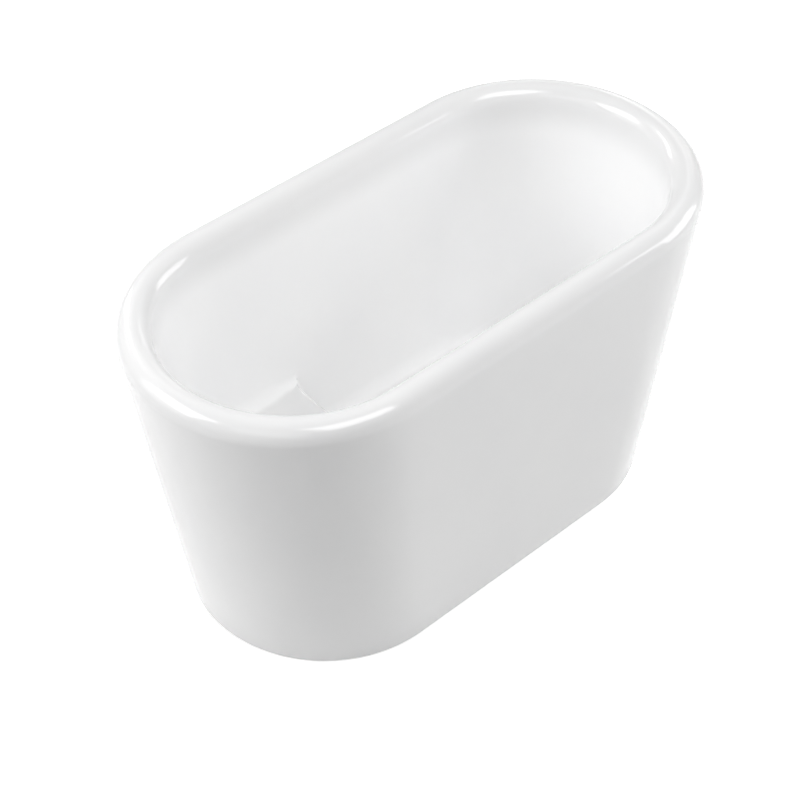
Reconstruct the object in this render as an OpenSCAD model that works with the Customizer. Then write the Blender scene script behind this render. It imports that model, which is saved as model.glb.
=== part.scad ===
// Freestanding sit-in bathtub: a deep double-walled tub with rounded ends and a moulded seat.
// Origin: on the floor, under the middle of the rim. +X runs along the tub towards the foot well,
// away from the seat, and +Z is up. All sizes are in millimetres.

/* [Overall] */
// Length over the rim
tub_length = 1290; // [1240:5:1400]
// Width over the rim
tub_width = 650; // [630:5:700]
// Height from the floor to the top of the rim
tub_height = 700; // [670:5:740]
// Length of the skirt at the floor
base_length = 1081; // [1060:1:1130]
// Width of the skirt at the floor
base_width = 565; // [555:1:590]
// Radius of the rolled rim
rim_radius = 33; // [30:0.5:36]

/* [Walls] */
// Thickness of the laminated basin
shell_wall = 6; // [5:0.5:7]
// Thickness of the skirt
skirt_wall = 5; // [4:0.5:6]
// Gap between the skirt's lower edge and the floor
skirt_gap = 3; // [2:0.5:4]
// Width of the flange turned in along the skirt's lower edge
flange_width = 25; // [22:1:30]
// Straight length of the rim's outer lip below the roll
lip_length = 20; // [14:1:30]
// Height of the skirt's tongue behind the lip
tongue_height = 16; // [12:1:20]
// Glue gap between the lip and the tongue
lip_clearance = 0.4; // [0.3:0.1:0.8]

/* [Basin] */
// Height of the bathing floor at the drain
floor_height = 90; // [86:1:96]
// Length of the basin at floor level, before the fillet
floor_length = 974; // [950:1:985]
// Width of the basin at floor level, before the fillet
floor_width = 452; // [440:1:456]
// Fillet between the walls and the floor
floor_fillet = 40; // [32:1:46]
// Fall of the floor towards the drain
floor_fall = 5; // [3:0.5:7]

/* [Seat] */
// Height of the seat above the floor the tub stands on
seat_height = 245; // [225:1:280]
// Position of the seat's front edge along the tub
seat_front = -133; // [-150:1:-115]
// Fillet between the seat and the walls
seat_fillet = 35; // [28:1:36]
// Rounding of the seat's front edge
seat_edge = 18; // [14:1:19]
// Upright fillet in the corners of the foot well, at the floor
well_corner = 56; // [55:1:65]
// Upright fillet in the same corners, at the seat
seat_corner = 10; // [8:1:20]
// Slope of the wall below the seat, in degrees
seat_wall_slope = 5; // [3:0.5:7]

/* [Boards and legs] */
// Thickness of the boards bonded under the floor and the seat
board_thickness = 12; // [10:1:13]
// Width of the board under the floor
base_board_width = 330; // [310:5:340]
// Steel thickness of the leg channels
channel_wall = 2; // [1.5:0.5:2.5]
// Inside height of the leg channels, to the underside of the board
channel_height = 22; // [20:1:24]
// Width of the channel's web
channel_web = 30; // [28:1:34]
// Width of each top flange of the channel
channel_flange = 14; // [12:1:16]
// Length of the leg channels across the tub
channel_length = 420; // [400:5:430]
// Position of the rear leg channel under the seat
rear_leg_x = -330; // [-340:1:-320]
// Position of the front leg channel
front_leg_x = 330; // [320:1:340]
// Position of the centre leg
centre_leg_x = -60; // [-66:1:-40]
// Distance between the two feet of a channel
foot_spread = 300; // [280:1:310]
// Side of the square tube of the seat posts
post_size = 25; // [20:1:28]
// Distance between the seat posts
post_spread = 190; // [170:1:200]
// Thickness of all steel plates
plate_thickness = 3; // [2.5:0.5:3.5]

/* [Levelling feet] */
// Radius of the foot pads
pad_radius = 25; // [22:1:28]
// Height of the foot pads
pad_height = 14; // [13:1:15]
// Radius of the threaded studs
stud_radius = 6; // [5:0.5:6]
// Height of the upper ends of the channels' studs above the floor
stud_top = 66; // [64:0.5:67]
// Radial play of the studs in nuts and pads
stud_play = 0.05; // [0.03:0.01:0.08]
// Height of the welded nuts
weld_nut_height = 10; // [8:1:10]
// Height of the lock nuts
lock_nut_height = 6; // [5:0.5:7]

/* [Waste] */
// Position of the drain along the tub
drain_x = 150; // [130:1:170]
// Radius of the hole in the basin for the waste
drain_hole_radius = 24.5; // [24.3:0.1:25.5]
// Radius of the moulded recess round the drain
recess_radius = 38; // [37:0.5:40]
// Depth of the moulded recess round the drain
recess_depth = 2; // [1.5:0.5:2.5]
// Radius of the chrome waste flange
waste_radius = 35; // [33:0.5:36]
// Inside radius of the waste flange's neck
throat_radius = 20.5; // [19.5:0.5:21]
// Outside radius of the waste flange's threaded neck
neck_radius = 24; // [23.5:0.1:24.1]
// Radius of the waste plug's cap
plug_radius = 31; // [29:0.5:32]
// Travel of the waste plug
plug_travel = 10; // [8:0.5:11]
// Outside radius of the outlet's thread
outlet_radius = 23.9; // [23:0.1:24.5]
// Length of the outlet's thread
outlet_length = 21; // [15:1:21]

/* [Overflow] */
// Depth of the overflow below the top of the rim
overflow_depth = 100; // [95:1:120]
// Radius of the hole in the basin for the overflow
overflow_hole_radius = 25; // [24.5:0.1:26]
// Radius of the overflow's cover
cover_radius = 34; // [33:0.5:36]
// Depth of the overflow's cover
cover_depth = 12; // [10:0.5:14]
// Outside radius of the overflow pipe
pipe_radius = 16; // [15:0.5:16]
// Wall of the overflow pipe
pipe_wall = 2; // [1.5:0.5:2.5]
// Radius of the bend at the foot of the overflow pipe
bend_radius = 36; // [32:1:40]

/* [Hidden] */
$fn = 48;

// A stadium outline is given by half its straight length and by the radius of its ends
rim_r = tub_width / 2;
rim_a = tub_length / 2 - rim_r;
base_r = base_width / 2;
base_a = base_length / 2 - base_r;
floor_r = floor_width / 2;
floor_a = floor_length / 2 - floor_r;

// Levels
rim_z = tub_height - rim_radius;
seam_z = rim_z - rim_radius * sin(side_lean()) - lip_length;
floor_z = floor_height;
seat_z = seat_height;
board_top_z = floor_z - shell_wall;
board_z = board_top_z - board_thickness;
web_z = board_z - channel_height;
seat_board_z = seat_z - shell_wall - board_thickness;
overflow_z = tub_height - overflow_depth;

// Steps of the curved surfaces
arc_steps = 12;
roll_steps = 10;
inner_roll_steps = 6;
fillet_steps = 4;
corner_steps = 4;
eps = 0.01;

// Colours
acrylic_colour = "white";
board_colour = "burlywood";
steel_colour = "silver";
zinc_colour = "lightsteelblue";
chrome_colour = "gainsboro";
plastic_colour = "gray";
rubber_colour = "dimgray";
pad_colour = "darkslategray";

// Plan of the walls
// A column is a line down the wall. It is [end, angle, ...] round an end of the tub, where end is
// 1 or -1 and the angle is the wall normal's, or [0, x, ...] on a straight side. The last two values
// place the column's point on the foot well's outline: an angle round its corner, or a share of
// the way along the seat's front edge, measured from the corner.
on_wall = -1;
corner_x = seat_front + seat_corner;
seat_side = [0.12, 0.35, 0.65];
front_share = [0.06, 0.14, 0.24];
arc_share = 0.34;

half_columns = concat(
    [for (i = [0 : arc_steps]) [1, 90 * i / arc_steps, on_wall, 0]],
    [for (f = [1 / 3, 2 / 3]) [0, floor_a + (corner_x - floor_a) * f, on_wall, 0]],
    [for (i = [0 : corner_steps])
        let (w = 90 * i / corner_steps)
        [0, corner_x - seat_corner * sin(w), w, 0]],
    [for (i = [0 : len(seat_side) - 1])
        [0, seat_front - (floor_a + seat_front) * seat_side[i], 90, front_share[i]]],
    [for (i = [arc_steps : -1 : 0])
        [-1, 90 * i / arc_steps, 90, 1 - (1 - arc_share) * i / arc_steps]]
);

function column_angle(c) = c[0] == 0 ? 90 : c[1];

function stadium_xy(c, a, r) =
    c[0] == 0 ? [c[1], r] : [c[0] * (a + r * cos(c[1])), r * sin(c[1])];

function reach(a, r, angle) = a * cos(angle) + r;

// Angle from upright of the skirt, tangent to the rim's roll
function outer_lean(angle) =
    let (dx = reach(rim_a, rim_r, angle) - rim_radius - reach(base_a, base_r, angle))
    atan2(dx, rim_z) + asin(rim_radius / norm([dx, rim_z]));

// Angle from upright of the basin's wall, tangent to the rim's roll on its other side
function inner_lean(angle) =
    let (dx = reach(rim_a, rim_r, angle) - rim_radius - reach(floor_a, floor_r, angle))
    let (dz = rim_z - floor_z)
    atan2(dx, dz) - asin(rim_radius / norm([dx, dz]));

function side_lean() = outer_lean(90);

// Point of the skirt's outer face at height z, moved in by inset
function skirt_xy(c, z, inset) =
    let (lean = outer_lean(column_angle(c)))
    let (t = z / (rim_z - rim_radius * sin(lean)))
    let (a = base_a + (rim_a - base_a) * t)
    let (r = base_r + (rim_r - rim_radius * (1 - cos(lean)) - base_r) * t)
    stadium_xy(c, a, r - inset / cos(lean));

// Point of the basin's bathing face at height z, moved out by outset
function basin_xy(c, z, outset) =
    let (lean = inner_lean(column_angle(c)))
    let (t = (z - floor_z) / (rim_z + rim_radius * sin(lean) - floor_z))
    let (a = floor_a + (rim_a - floor_a) * t)
    let (r = floor_r + (rim_r - rim_radius * (1 + cos(lean)) - floor_r) * t)
    stadium_xy(c, a, r + outset / cos(lean));

// Half width of the bathing space at height z
function basin_side(z) = basin_xy([0, 0], z, 0)[1];

// Half width of the skirt's outer face at height z and at x along the tub
function skirt_side(x, z) =
    let (r = skirt_xy([0, 0], z, 0)[1])
    let (a = skirt_xy([1, 90], z, 0)[0])
    let (dx = max(0, abs(x) - a))
    sqrt(r * r - dx * dx);

// Upright fillet in the foot well's corners at height z
function corner_radius(z) =
    well_corner + (seat_corner - well_corner) * (z - floor_z) / (seat_z - floor_z);

// Point of the foot well's wall at height z, moved out by outset
function well_xy(c, z, outset) =
    let (front = seat_front + (seat_z - z) * tan(seat_wall_slope))
    let (side = basin_side(z))
    let (corner = corner_radius(z))
    let (r = corner + outset)
    c[2] == on_wall ? basin_xy(c, z, outset)
    : [front + corner - r * sin(c[2]),
       (side - corner + r * cos(c[2])) * (1 - c[3])];

// Direction out of the foot well at a column of its wall
function well_normal(c) = [-sin(c[2]), cos(c[2])];

// Direction into the basin at a column of its wall
function wall_inward(c) =
    c[0] == 0 ? [0, -1] : [-c[0] * cos(c[1]), -sin(c[1])];

// How far the seat's fillets are grown at a column: 0 on plain wall, 1 on the seat
function seat_growth(c) =
    c[2] == on_wall ? 0
    : c[0] == -1 ? 1
    : min(1, (basin_side(seat_z) - well_xy(c, seat_z, 0)[1]) / (seat_fillet + seat_edge));

// Ring of points round the whole tub from one function value per column of half of it
function mirrored(half) =
    concat(half, [for (i = [len(half) - 2 : -1 : 1]) [half[i][0], -half[i][1], half[i][2]]]);

function at(p, z) = [p[0], p[1], z];

// Ring of the rim's roll, at step i of its turn from the skirt's side over the top to the basin's
function roll_ring(i, steps, radius) = mirrored([
    for (c = half_columns)
        let (angle = column_angle(c))
        let (w = i == 0 ? -outer_lean(angle) : min(180 * (i - 1) / steps, 180 - inner_lean(angle)))
        at(stadium_xy(c, rim_a, rim_r - rim_radius + radius * cos(w)), rim_z + radius * sin(w))
]);

function roll_rings(steps, radius) = [for (i = [0 : steps + 1]) roll_ring(i, steps, radius)];

function skirt_ring(z, inset) = mirrored([for (c = half_columns) at(skirt_xy(c, z, inset), z)]);

// Fillet between the seat and the wall behind it, at angle w of its quarter turn
function seat_fillet_ring(w, share, outset) = mirrored([
    for (c = half_columns)
        let (grown = seat_growth(c))
        let (r = grown * (seat_fillet + outset))
        let (z_seat = seat_z - outset + r * (1 - sin(w)))
        let (z_wall = seat_z + seat_fillet - (seat_fillet + seat_edge) * share)
        let (z = grown * z_seat + (1 - grown) * z_wall)
        at(basin_xy(c, z, outset) + wall_inward(c) * r * (1 - cos(w)), z)
]);

// Rounding of the seat's front edge, at angle w of its quarter turn
function seat_edge_ring(w, share, outset) = mirrored([
    for (c = half_columns)
        let (grown = seat_growth(c))
        let (r = grown * (seat_edge - outset))
        let (z_seat = seat_z - outset - r * (1 - cos(w)))
        let (z_wall = seat_z + seat_fillet - (seat_fillet + seat_edge) * share)
        let (z = grown * z_seat + (1 - grown) * z_wall)
        at(well_xy(c, z, outset) + (grown == 0 ? [0, 0] : well_normal(c) * r * (1 - sin(w))), z)
]);

// Fillet between the foot well's wall and the floor
function floor_fillet_ring(f, outset, fall) = mirrored([
    for (c = half_columns)
        let (lean = c[2] == on_wall ? inner_lean(column_angle(c)) : seat_wall_slope)
        let (w = lean + (90 - lean) * f)
        let (r = floor_fillet + outset)
        let (z = floor_z + fall - outset + r * (1 - sin(w)))
        at(well_xy(c, z, outset - r * (1 - cos(w - lean)) / cos(lean)), z)
]);

// Ring round the drain, level and round, in line with the columns
function drain_ring(radius, z) =
    [for (p = floor_fillet_ring(1, 0, floor_fall))
        let (angle = atan2(p[1], p[0] - drain_x))
        [drain_x + radius * cos(angle), radius * sin(angle), z]];

// Both faces of the basin, from the drain up to the rim or back, for one offset
function basin_rings(outset, fall) = concat(
    [for (i = [fillet_steps : -1 : 0]) floor_fillet_ring(i / fillet_steps, outset, fall)],
    [for (i = [fillet_steps : -1 : 0])
        seat_edge_ring(90 * i / fillet_steps, 1 - (fillet_steps - i) / (2 * fillet_steps + 1), outset)],
    [for (i = [fillet_steps : -1 : 0])
        seat_fillet_ring(90 * i / fillet_steps, i / (2 * fillet_steps + 1), outset)]
);

function reversed(list) = [for (i = [len(list) - 1 : -1 : 0]) list[i]];

function flat(lists) = [for (list = lists) for (item = list) item];

// Quads between ring k and ring m, each of n points
function band(k, m, n) =
    [for (i = [0 : n - 1]) [k * n + i, k * n + (i + 1) % n, m * n + (i + 1) % n, m * n + i]];

// Solid lofted through rings, closed at both ends
module capped_loft(rings) {
    n = len(rings[0]);
    last = len(rings) - 1;
    polyhedron(
        points = flat(rings),
        faces = concat(
            [[for (i = [n - 1 : -1 : 0]) i]],
            flat([for (k = [0 : last - 1]) band(k, k + 1, n)]),
            [[for (i = [0 : n - 1]) last * n + i]]
        )
    );
}

// Solid lofted through rings that return to the first one
module ring_loft(rings) {
    n = len(rings[0]);
    m = len(rings);
    polyhedron(
        points = flat(rings),
        faces = flat([for (k = [0 : m - 1]) band(k, (k + 1) % m, n)])
    );
}

// Waste, from the recess in the floor down to the outlet
recess_z = floor_z - recess_depth;
recess_draft = 1.5;
washer_thickness = 1;
gasket_thickness = 4;
gasket_play = 0.5;
flange_z = recess_z + washer_thickness;
flange_thickness = 2.2;
flange_top_z = flange_z + flange_thickness;
collar_z = board_top_z - gasket_thickness;
collar_thickness = 4;
collar_radius = 36;
neck_length = 16;
neck_bottom_z = collar_z - neck_length;
thread_play = 0.1;
hub_radius = 8;
hub_z = neck_bottom_z + 2;
hub_height = 5;
spigot_radius = 4.95;
spigot_length = 9;
cartridge_z = hub_z + hub_height;
cartridge_height = plug_travel + 6;
stem_radius = 4;
stem_play = 0.05;
stem_z = cartridge_z + 1.5;
cone_lip = 0.6;
cone_width = 6.5;
cone_depth = 4.6;
cap_z = flange_top_z + 1;
cap_height = 5;
cap_seal_depth = 3.4;
cap_seal_width = 8;
cap_seal_gap = 0.15;
outlet_z = 5;
inlet_z = outlet_z + outlet_length + 20;
inlet_wall = 3;
socket_radius = pipe_radius + thread_play;
inlet_radius = socket_radius + inlet_wall;
inlet_end = 58;
socket_depth = 14;
pipe_insert = 12;
nut_radius = inlet_radius + 4;
nut_length = 22;
seal_length = 4;
nut_end = 4;
elbow_wall = 2.5;
elbow_socket = 14;
elbow_overlap = 3;
pipe_joint = 5;
joint_play = 0.3;

// Overflow, measured out of the wall into the basin
overflow_lean = inner_lean(90);
overflow_y = -basin_side(overflow_z);
body_back = 50;
body_radius = 30;
body_wall = 3;
spigot_depth = 32;
spigot_end = collar_radius + nut_length - seal_length - nut_end + 2;
overflow_screw_radius = 2.5;
overflow_screw_length = 25;
faceplate_thickness = 2.5;
cover_wall = 2.5;
cover_play = 0.3;
pipe_drop = (overflow_z - spigot_depth * sin(overflow_lean) - inlet_z - bend_radius
    + bend_radius * sin(overflow_lean)) / cos(overflow_lean);
pipe_y = overflow_y - spigot_depth * cos(overflow_lean);
bend_y = pipe_y + bend_radius * cos(overflow_lean) + pipe_drop * sin(overflow_lean);

// Local frame of the overflow: Z out of the wall into the basin, Y down the wall
module at_overflow() {
    translate([drain_x, overflow_y, overflow_z])
        rotate([overflow_lean - 90, 0, 0])
            children();
}

// Cylinder along Z from one height to another
module cylinder_between(z0, z1, radius) {
    translate([0, 0, z0])
        cylinder(r = radius, h = z1 - z0);
}

module ring(outer, inner, height) {
    difference() {
        cylinder(r = outer, h = height);
        translate([0, 0, -1])
            cylinder(r = inner, h = height + 2);
    }
}

// Rectangle with rounded corners, exact arcs
module rounded_rectangle(x0, x1, width, r) {
    length = x1 - x0;
    translate([x0, -width / 2 + r])
        square([length, width - 2 * r]);
    translate([x0 + r, -width / 2])
        square([length - 2 * r, width]);
    for (x = [x0 + r, x1 - r], y = [-width / 2 + r, width / 2 - r])
        translate([x, y])
            circle(r = r);
}

// Sites of the feet: x, y and the height of the face under which the lock nut sits
foot_sites = [
    [rear_leg_x, -foot_spread / 2, web_z],
    [rear_leg_x, foot_spread / 2, web_z],
    [front_leg_x, -foot_spread / 2, web_z],
    [front_leg_x, foot_spread / 2, web_z],
    [centre_leg_x, 0, board_z - plate_thickness - weld_nut_height],
];
centre_site = len(foot_sites) - 1;
centre_stud_top = board_top_z - 6;

// Fastener sites
flange_offset = channel_web / 2 + channel_flange / 2;
screw_radius = 2.1;
screw_play = 0.05;
screw_hole_depth = 9;
screw_tip_gap = 1;
bolt_radius = 3;
bolt_play = 0.2;
stud_hole_play = 0.5;
plate_side = channel_web + 2 * channel_flange;
centre_plate_side = 90;
centre_screw = centre_plate_side / 2 - 10;
centre_plate_corner = 8;
top_plate_side = 70;
top_screw = top_plate_side / 2 - 9;
front_screw_y = [-60, 60];

base_screw_sites = concat(
    [for (dx = [-flange_offset, flange_offset], y = front_screw_y) [front_leg_x + dx, y, channel_wall]],
    [for (dx = [-centre_screw, centre_screw], y = [-centre_screw, centre_screw])
        [centre_leg_x + dx, y, plate_thickness]]
);
seat_screw_sites = [
    for (side = [-1, 1], dx = [-top_screw, top_screw], dy = [-top_screw, top_screw])
        [rear_leg_x + dx, side * post_spread / 2 + dy, plate_thickness]
];
post_bolt_sites = [
    for (side = [-1, 1], dx = [-flange_offset, flange_offset])
        [rear_leg_x + dx, side * post_spread / 2]
];

// Skirt brackets: Z-shaped straps from the channel's ends to the skirt's flange
bracket_width = 25;
bracket_lap = 26;
bracket_toe = 6;
bracket_bolt_y = channel_length / 2 - bracket_lap / 2;
skirt_flange_z = skirt_gap + skirt_wall;
skirt_screw_radius = 2.5;
socket_floor = 4;
pad_gap = 0.3;
bracket_sites = [for (x = [rear_leg_x, front_leg_x], side = [-1, 1]) [x, side]];

function flange_inner_y(x) = skirt_side(x, skirt_gap) - skirt_wall - flange_width;
function skirt_screw_y(x) = flange_inner_y(x) + flange_width / 2;

// Basin with its rolled rim, seat, foot well, drain recess and the two holes for the plumbing
module inner_shell() {
    lip_rings = [
        skirt_ring(seam_z, 0),
        skirt_ring(seam_z, shell_wall),
    ];
    color(acrylic_colour)
        difference() {
            capped_loft(concat(
                [drain_ring(recess_radius - recess_draft, recess_z), drain_ring(recess_radius, floor_z)],
                [drain_ring(2 * recess_radius, floor_z)],
                basin_rings(0, floor_fall),
                reversed(roll_rings(roll_steps, rim_radius)),
                lip_rings,
                roll_rings(inner_roll_steps, rim_radius - shell_wall),
                reversed(basin_rings(shell_wall, 0))
            ));
            translate([drain_x, 0, board_z])
                cylinder(r = drain_hole_radius, h = floor_z);
            at_overflow()
                translate([0, 0, -3 * shell_wall])
                    cylinder(r = overflow_hole_radius, h = 6 * shell_wall);
        }
}

// Outer skirt with its bottom flange and the joggled tongue that is glued behind the rim's lip
module outer_skirt() {
    tongue = shell_wall + lip_clearance;
    joggle = 6;
    edge = 2;
    profile = [
        [seam_z, 0],
        [skirt_gap + edge, 0],
        [skirt_gap, edge],
        [skirt_gap, skirt_wall + flange_width],
        [skirt_flange_z, skirt_wall + flange_width],
        [skirt_flange_z, skirt_wall],
        [seam_z - 2 * joggle, skirt_wall],
        [seam_z - joggle, tongue + skirt_wall],
        [seam_z + tongue_height, tongue + skirt_wall],
        [seam_z + tongue_height, tongue],
        [seam_z, tongue],
    ];
    color(acrylic_colour)
        difference() {
            ring_loft([for (p = profile) skirt_ring(p[0], p[1])]);
            for (b = bracket_sites)
                translate([b[0], b[1] * skirt_screw_y(b[0]), 0])
                    cylinder(r = skirt_screw_radius + screw_play, h = 2 * skirt_flange_z);
        }
}

// Board bonded under the floor of the foot well, with holes for the waste and the centre stud
module base_board() {
    x0 = seat_front + well_corner / 2;
    x1 = floor_length / 2 - floor_fillet - shell_wall;
    cut_out = collar_radius + 6;
    color(board_colour)
        difference() {
            translate([0, 0, board_z])
                linear_extrude(board_thickness)
                    rounded_rectangle(x0, x1, base_board_width, base_board_width / 4);
            translate([drain_x, 0, board_z - 1])
                cylinder(r = cut_out, h = board_thickness + 2);
            translate([centre_leg_x, 0, board_z - 1])
                cylinder(r = stud_radius + stud_hole_play, h = board_thickness + 2);
            for (s = base_screw_sites)
                translate([s[0], s[1], board_z - 1])
                    cylinder(r = screw_radius + screw_play, h = screw_hole_depth + 1);
        }
}

// Board bonded under the seat
module seat_board() {
    half_width = basin_side(seat_z) - seat_fillet - shell_wall;
    x1 = seat_front - seat_edge - shell_wall;
    length = x1 - (rear_leg_x - top_plate_side);
    color(board_colour)
        difference() {
            translate([0, 0, seat_board_z])
                linear_extrude(board_thickness)
                    rounded_rectangle(x1 - length, x1, 2 * half_width - shell_wall, half_width / 4);
            for (s = seat_screw_sites)
                translate([s[0], s[1], seat_board_z - 1])
                    cylinder(r = screw_radius + screw_play, h = screw_hole_depth + 1);
        }
}

// Hat-shaped steel channel across the tub, its flanges against the board, a foot near each end
module leg_channel(x, flange_holes) {
    w = channel_web / 2;
    outer = w + channel_flange;
    t = channel_wall;
    top = channel_height;
    profile = [
        [-outer, top], [-outer, top - t], [-w, top - t], [-w, 0], [w, 0], [w, top - t],
        [outer, top - t], [outer, top], [w - t, top], [w - t, t], [t - w, t], [t - w, top],
    ];
    color(steel_colour)
        difference() {
            translate([x, channel_length / 2, web_z])
                rotate([90, 0, 0])
                    linear_extrude(channel_length)
                        polygon(profile);
            for (y = [-foot_spread / 2, foot_spread / 2])
                translate([x, y, web_z - 1])
                    cylinder(r = stud_radius + stud_hole_play, h = t + 2);
            for (side = [-1, 1])
                translate([x, side * bracket_bolt_y, web_z - 1])
                    cylinder(r = bolt_radius + bolt_play, h = t + 2);
            for (s = flange_holes)
                translate([s[0], s[1], board_z - t - 1])
                    cylinder(r = bolt_radius + bolt_play, h = t + 2);
        }
}

module rear_leg_channel() leg_channel(rear_leg_x, post_bolt_sites);

module front_leg_channel()
    leg_channel(front_leg_x, [for (s = base_screw_sites) if (s[2] == channel_wall) s]);

// Plate screwed under the base board, which carries the centre foot
module centre_leg_plate() {
    color(steel_colour)
        difference() {
            translate([centre_leg_x, 0, board_z - plate_thickness])
                linear_extrude(plate_thickness)
                    rounded_rectangle(-centre_plate_side / 2, centre_plate_side / 2,
                                      centre_plate_side, centre_plate_corner);
            translate([centre_leg_x, 0, board_z - plate_thickness - 1])
                cylinder(r = stud_radius + stud_hole_play, h = plate_thickness + 2);
            for (s = base_screw_sites)
                translate([s[0], s[1], board_z - plate_thickness - 1])
                    cylinder(r = screw_radius + bolt_play, h = plate_thickness + 2);
        }
}

// Square tube with a foot plate on the rear channel and a head plate under the seat board
module seat_post(side) {
    y = side * post_spread / 2;
    bottom = board_z + plate_thickness;
    height = seat_board_z - plate_thickness - bottom;
    inner = post_size - 2 * channel_wall;
    color(steel_colour)
        difference() {
            translate([rear_leg_x, y, 0])
                union() {
                    translate([-plate_side / 2, -post_size, board_z])
                        cube([plate_side, 2 * post_size, plate_thickness]);
                    translate([-post_size / 2, -post_size / 2, bottom])
                        cube([post_size, post_size, height]);
                    translate([-top_plate_side / 2, -top_plate_side / 2, bottom + height])
                        cube([top_plate_side, top_plate_side, plate_thickness]);
                }
            translate([rear_leg_x - inner / 2, y - inner / 2, bottom])
                cube([inner, inner, height]);
            for (s = post_bolt_sites)
                translate([s[0], s[1], board_z - 1])
                    cylinder(r = bolt_radius + bolt_play, h = plate_thickness + 2);
            for (s = seat_screw_sites)
                translate([s[0], s[1], seat_board_z - plate_thickness - 1])
                    cylinder(r = screw_radius + bolt_play, h = plate_thickness + 2);
        }
}

module left_seat_post() seat_post(1);

module right_seat_post() seat_post(-1);

// Four straps that hold the skirt's flange to the ends of the leg channels
module skirt_brackets() {
    t = plate_thickness;
    color(steel_colour)
        for (b = bracket_sites) {
            x = b[0];
            side = b[1];
            inner_y = channel_length / 2 - bracket_lap;
            knee_y = flange_inner_y(x) + t;
            toe_y = skirt_screw_y(x) + bracket_toe;
            profile = [
                [inner_y, web_z], [knee_y, web_z], [knee_y, skirt_flange_z + t],
                [toe_y, skirt_flange_z + t], [toe_y, skirt_flange_z],
                [knee_y - t, skirt_flange_z], [knee_y - t, web_z - t], [inner_y, web_z - t],
            ];
            difference() {
                translate([x - bracket_width / 2, 0, 0])
                    mirror([0, side < 0 ? 1 : 0, 0])
                        rotate([90, 0, 90])
                            linear_extrude(bracket_width)
                                polygon(profile);
                translate([x, side * bracket_bolt_y, web_z - t - 1])
                    cylinder(r = bolt_radius + bolt_play, h = t + 2);
                translate([x, side * skirt_screw_y(x), skirt_flange_z - 1])
                    cylinder(r = skirt_screw_radius + bolt_play, h = t + 2);
            }
        }
}

// Pan-head screw driven upwards, its head's top face at the origin
module screw(radius, depth) {
    head_radius = 2 * radius;
    head_height = radius;
    translate([0, 0, -head_height])
        cylinder(r = head_radius, h = head_height);
    cylinder(r = radius, h = depth);
}

// Hexagonal bolt head or nut
module hexagon(across_flats, height) {
    cylinder(r = across_flats / sqrt(3), h = height, $fn = 6);
}

// Hexagonal nut with a round bore
module hex_nut(across_flats, bore, height) {
    difference() {
        hexagon(across_flats, height);
        translate([0, 0, -1])
            cylinder(r = bore, h = height + 2);
    }
}

module board_screws() {
    color(zinc_colour) {
        for (s = base_screw_sites)
            translate([s[0], s[1], board_z - s[2]])
                screw(screw_radius, s[2] + screw_hole_depth - screw_tip_gap);
        for (s = seat_screw_sites)
            translate([s[0], s[1], seat_board_z - s[2]])
                screw(screw_radius, s[2] + screw_hole_depth - screw_tip_gap);
    }
}

// Bolt through a stack of plates: head below, nut above
module bolt(radius, stack) {
    flats = 10 / 6 * 2 * radius;
    head = 1.3 * radius;
    nut = 1.6 * radius;
    translate([0, 0, -head])
        hexagon(flats, head);
    cylinder(r = radius, h = stack + nut + 1);
    translate([0, 0, stack])
        hex_nut(flats, radius + screw_play, nut);
}

module post_bolts() {
    color(zinc_colour)
        for (s = post_bolt_sites)
            translate([s[0], s[1], board_z - channel_wall])
                bolt(bolt_radius, channel_wall + plate_thickness);
}

module bracket_bolts() {
    color(zinc_colour)
        for (b = bracket_sites)
            translate([b[0], b[1] * bracket_bolt_y, web_z - plate_thickness])
                bolt(bolt_radius, channel_wall + plate_thickness);
}

module skirt_screws() {
    color(zinc_colour)
        for (b = bracket_sites)
            translate([b[0], b[1] * skirt_screw_y(b[0]), skirt_flange_z + plate_thickness])
                mirror([0, 0, 1])
                    screw(skirt_screw_radius, plate_thickness + skirt_wall);
}

// Nuts welded to the channels and the centre plate, one over each foot
module weld_nuts() {
    flats = 3.2 * stud_radius;
    color(zinc_colour)
        for (i = [0 : centre_site]) {
            s = foot_sites[i];
            z = i == centre_site ? s[2] : s[2] + channel_wall;
            translate([s[0], s[1], z])
                hex_nut(flats, stud_radius + stud_play, weld_nut_height);
        }
}

module lock_nuts() {
    flats = 3.2 * stud_radius;
    color(zinc_colour)
        for (s = foot_sites)
            translate([s[0], s[1], s[2] - lock_nut_height])
                hex_nut(flats, stud_radius + stud_play, lock_nut_height);
}

// Moulded foot pad with a socket in which the stud turns
module foot_pad(i) {
    s = foot_sites[i];
    collar = stud_radius + 5;
    edge = 2;
    profile = [
        [0, 0], [pad_radius - edge, 0], [pad_radius, edge], [pad_radius, 2 * edge],
        [collar + edge, pad_height - 3 * edge], [collar, pad_height - 2 * edge],
        [collar, pad_height], [stud_radius + stud_play, pad_height],
        [stud_radius + stud_play, socket_floor], [0, socket_floor],
    ];
    color(pad_colour)
        translate([s[0], s[1], 0])
            rotate_extrude()
                polygon(profile);
}

// Threaded stud with a hexagonal collar for the spanner
module foot_stud(i) {
    s = foot_sites[i];
    bottom = socket_floor + pad_gap;
    top = i == centre_site ? centre_stud_top : stud_top;
    color(zinc_colour)
        translate([s[0], s[1], 0]) {
            translate([0, 0, bottom])
                cylinder(r = stud_radius, h = top - bottom);
            translate([0, 0, pad_height + pad_gap])
                hexagon(2 * stud_radius + 5, stud_radius);
        }
}

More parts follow.
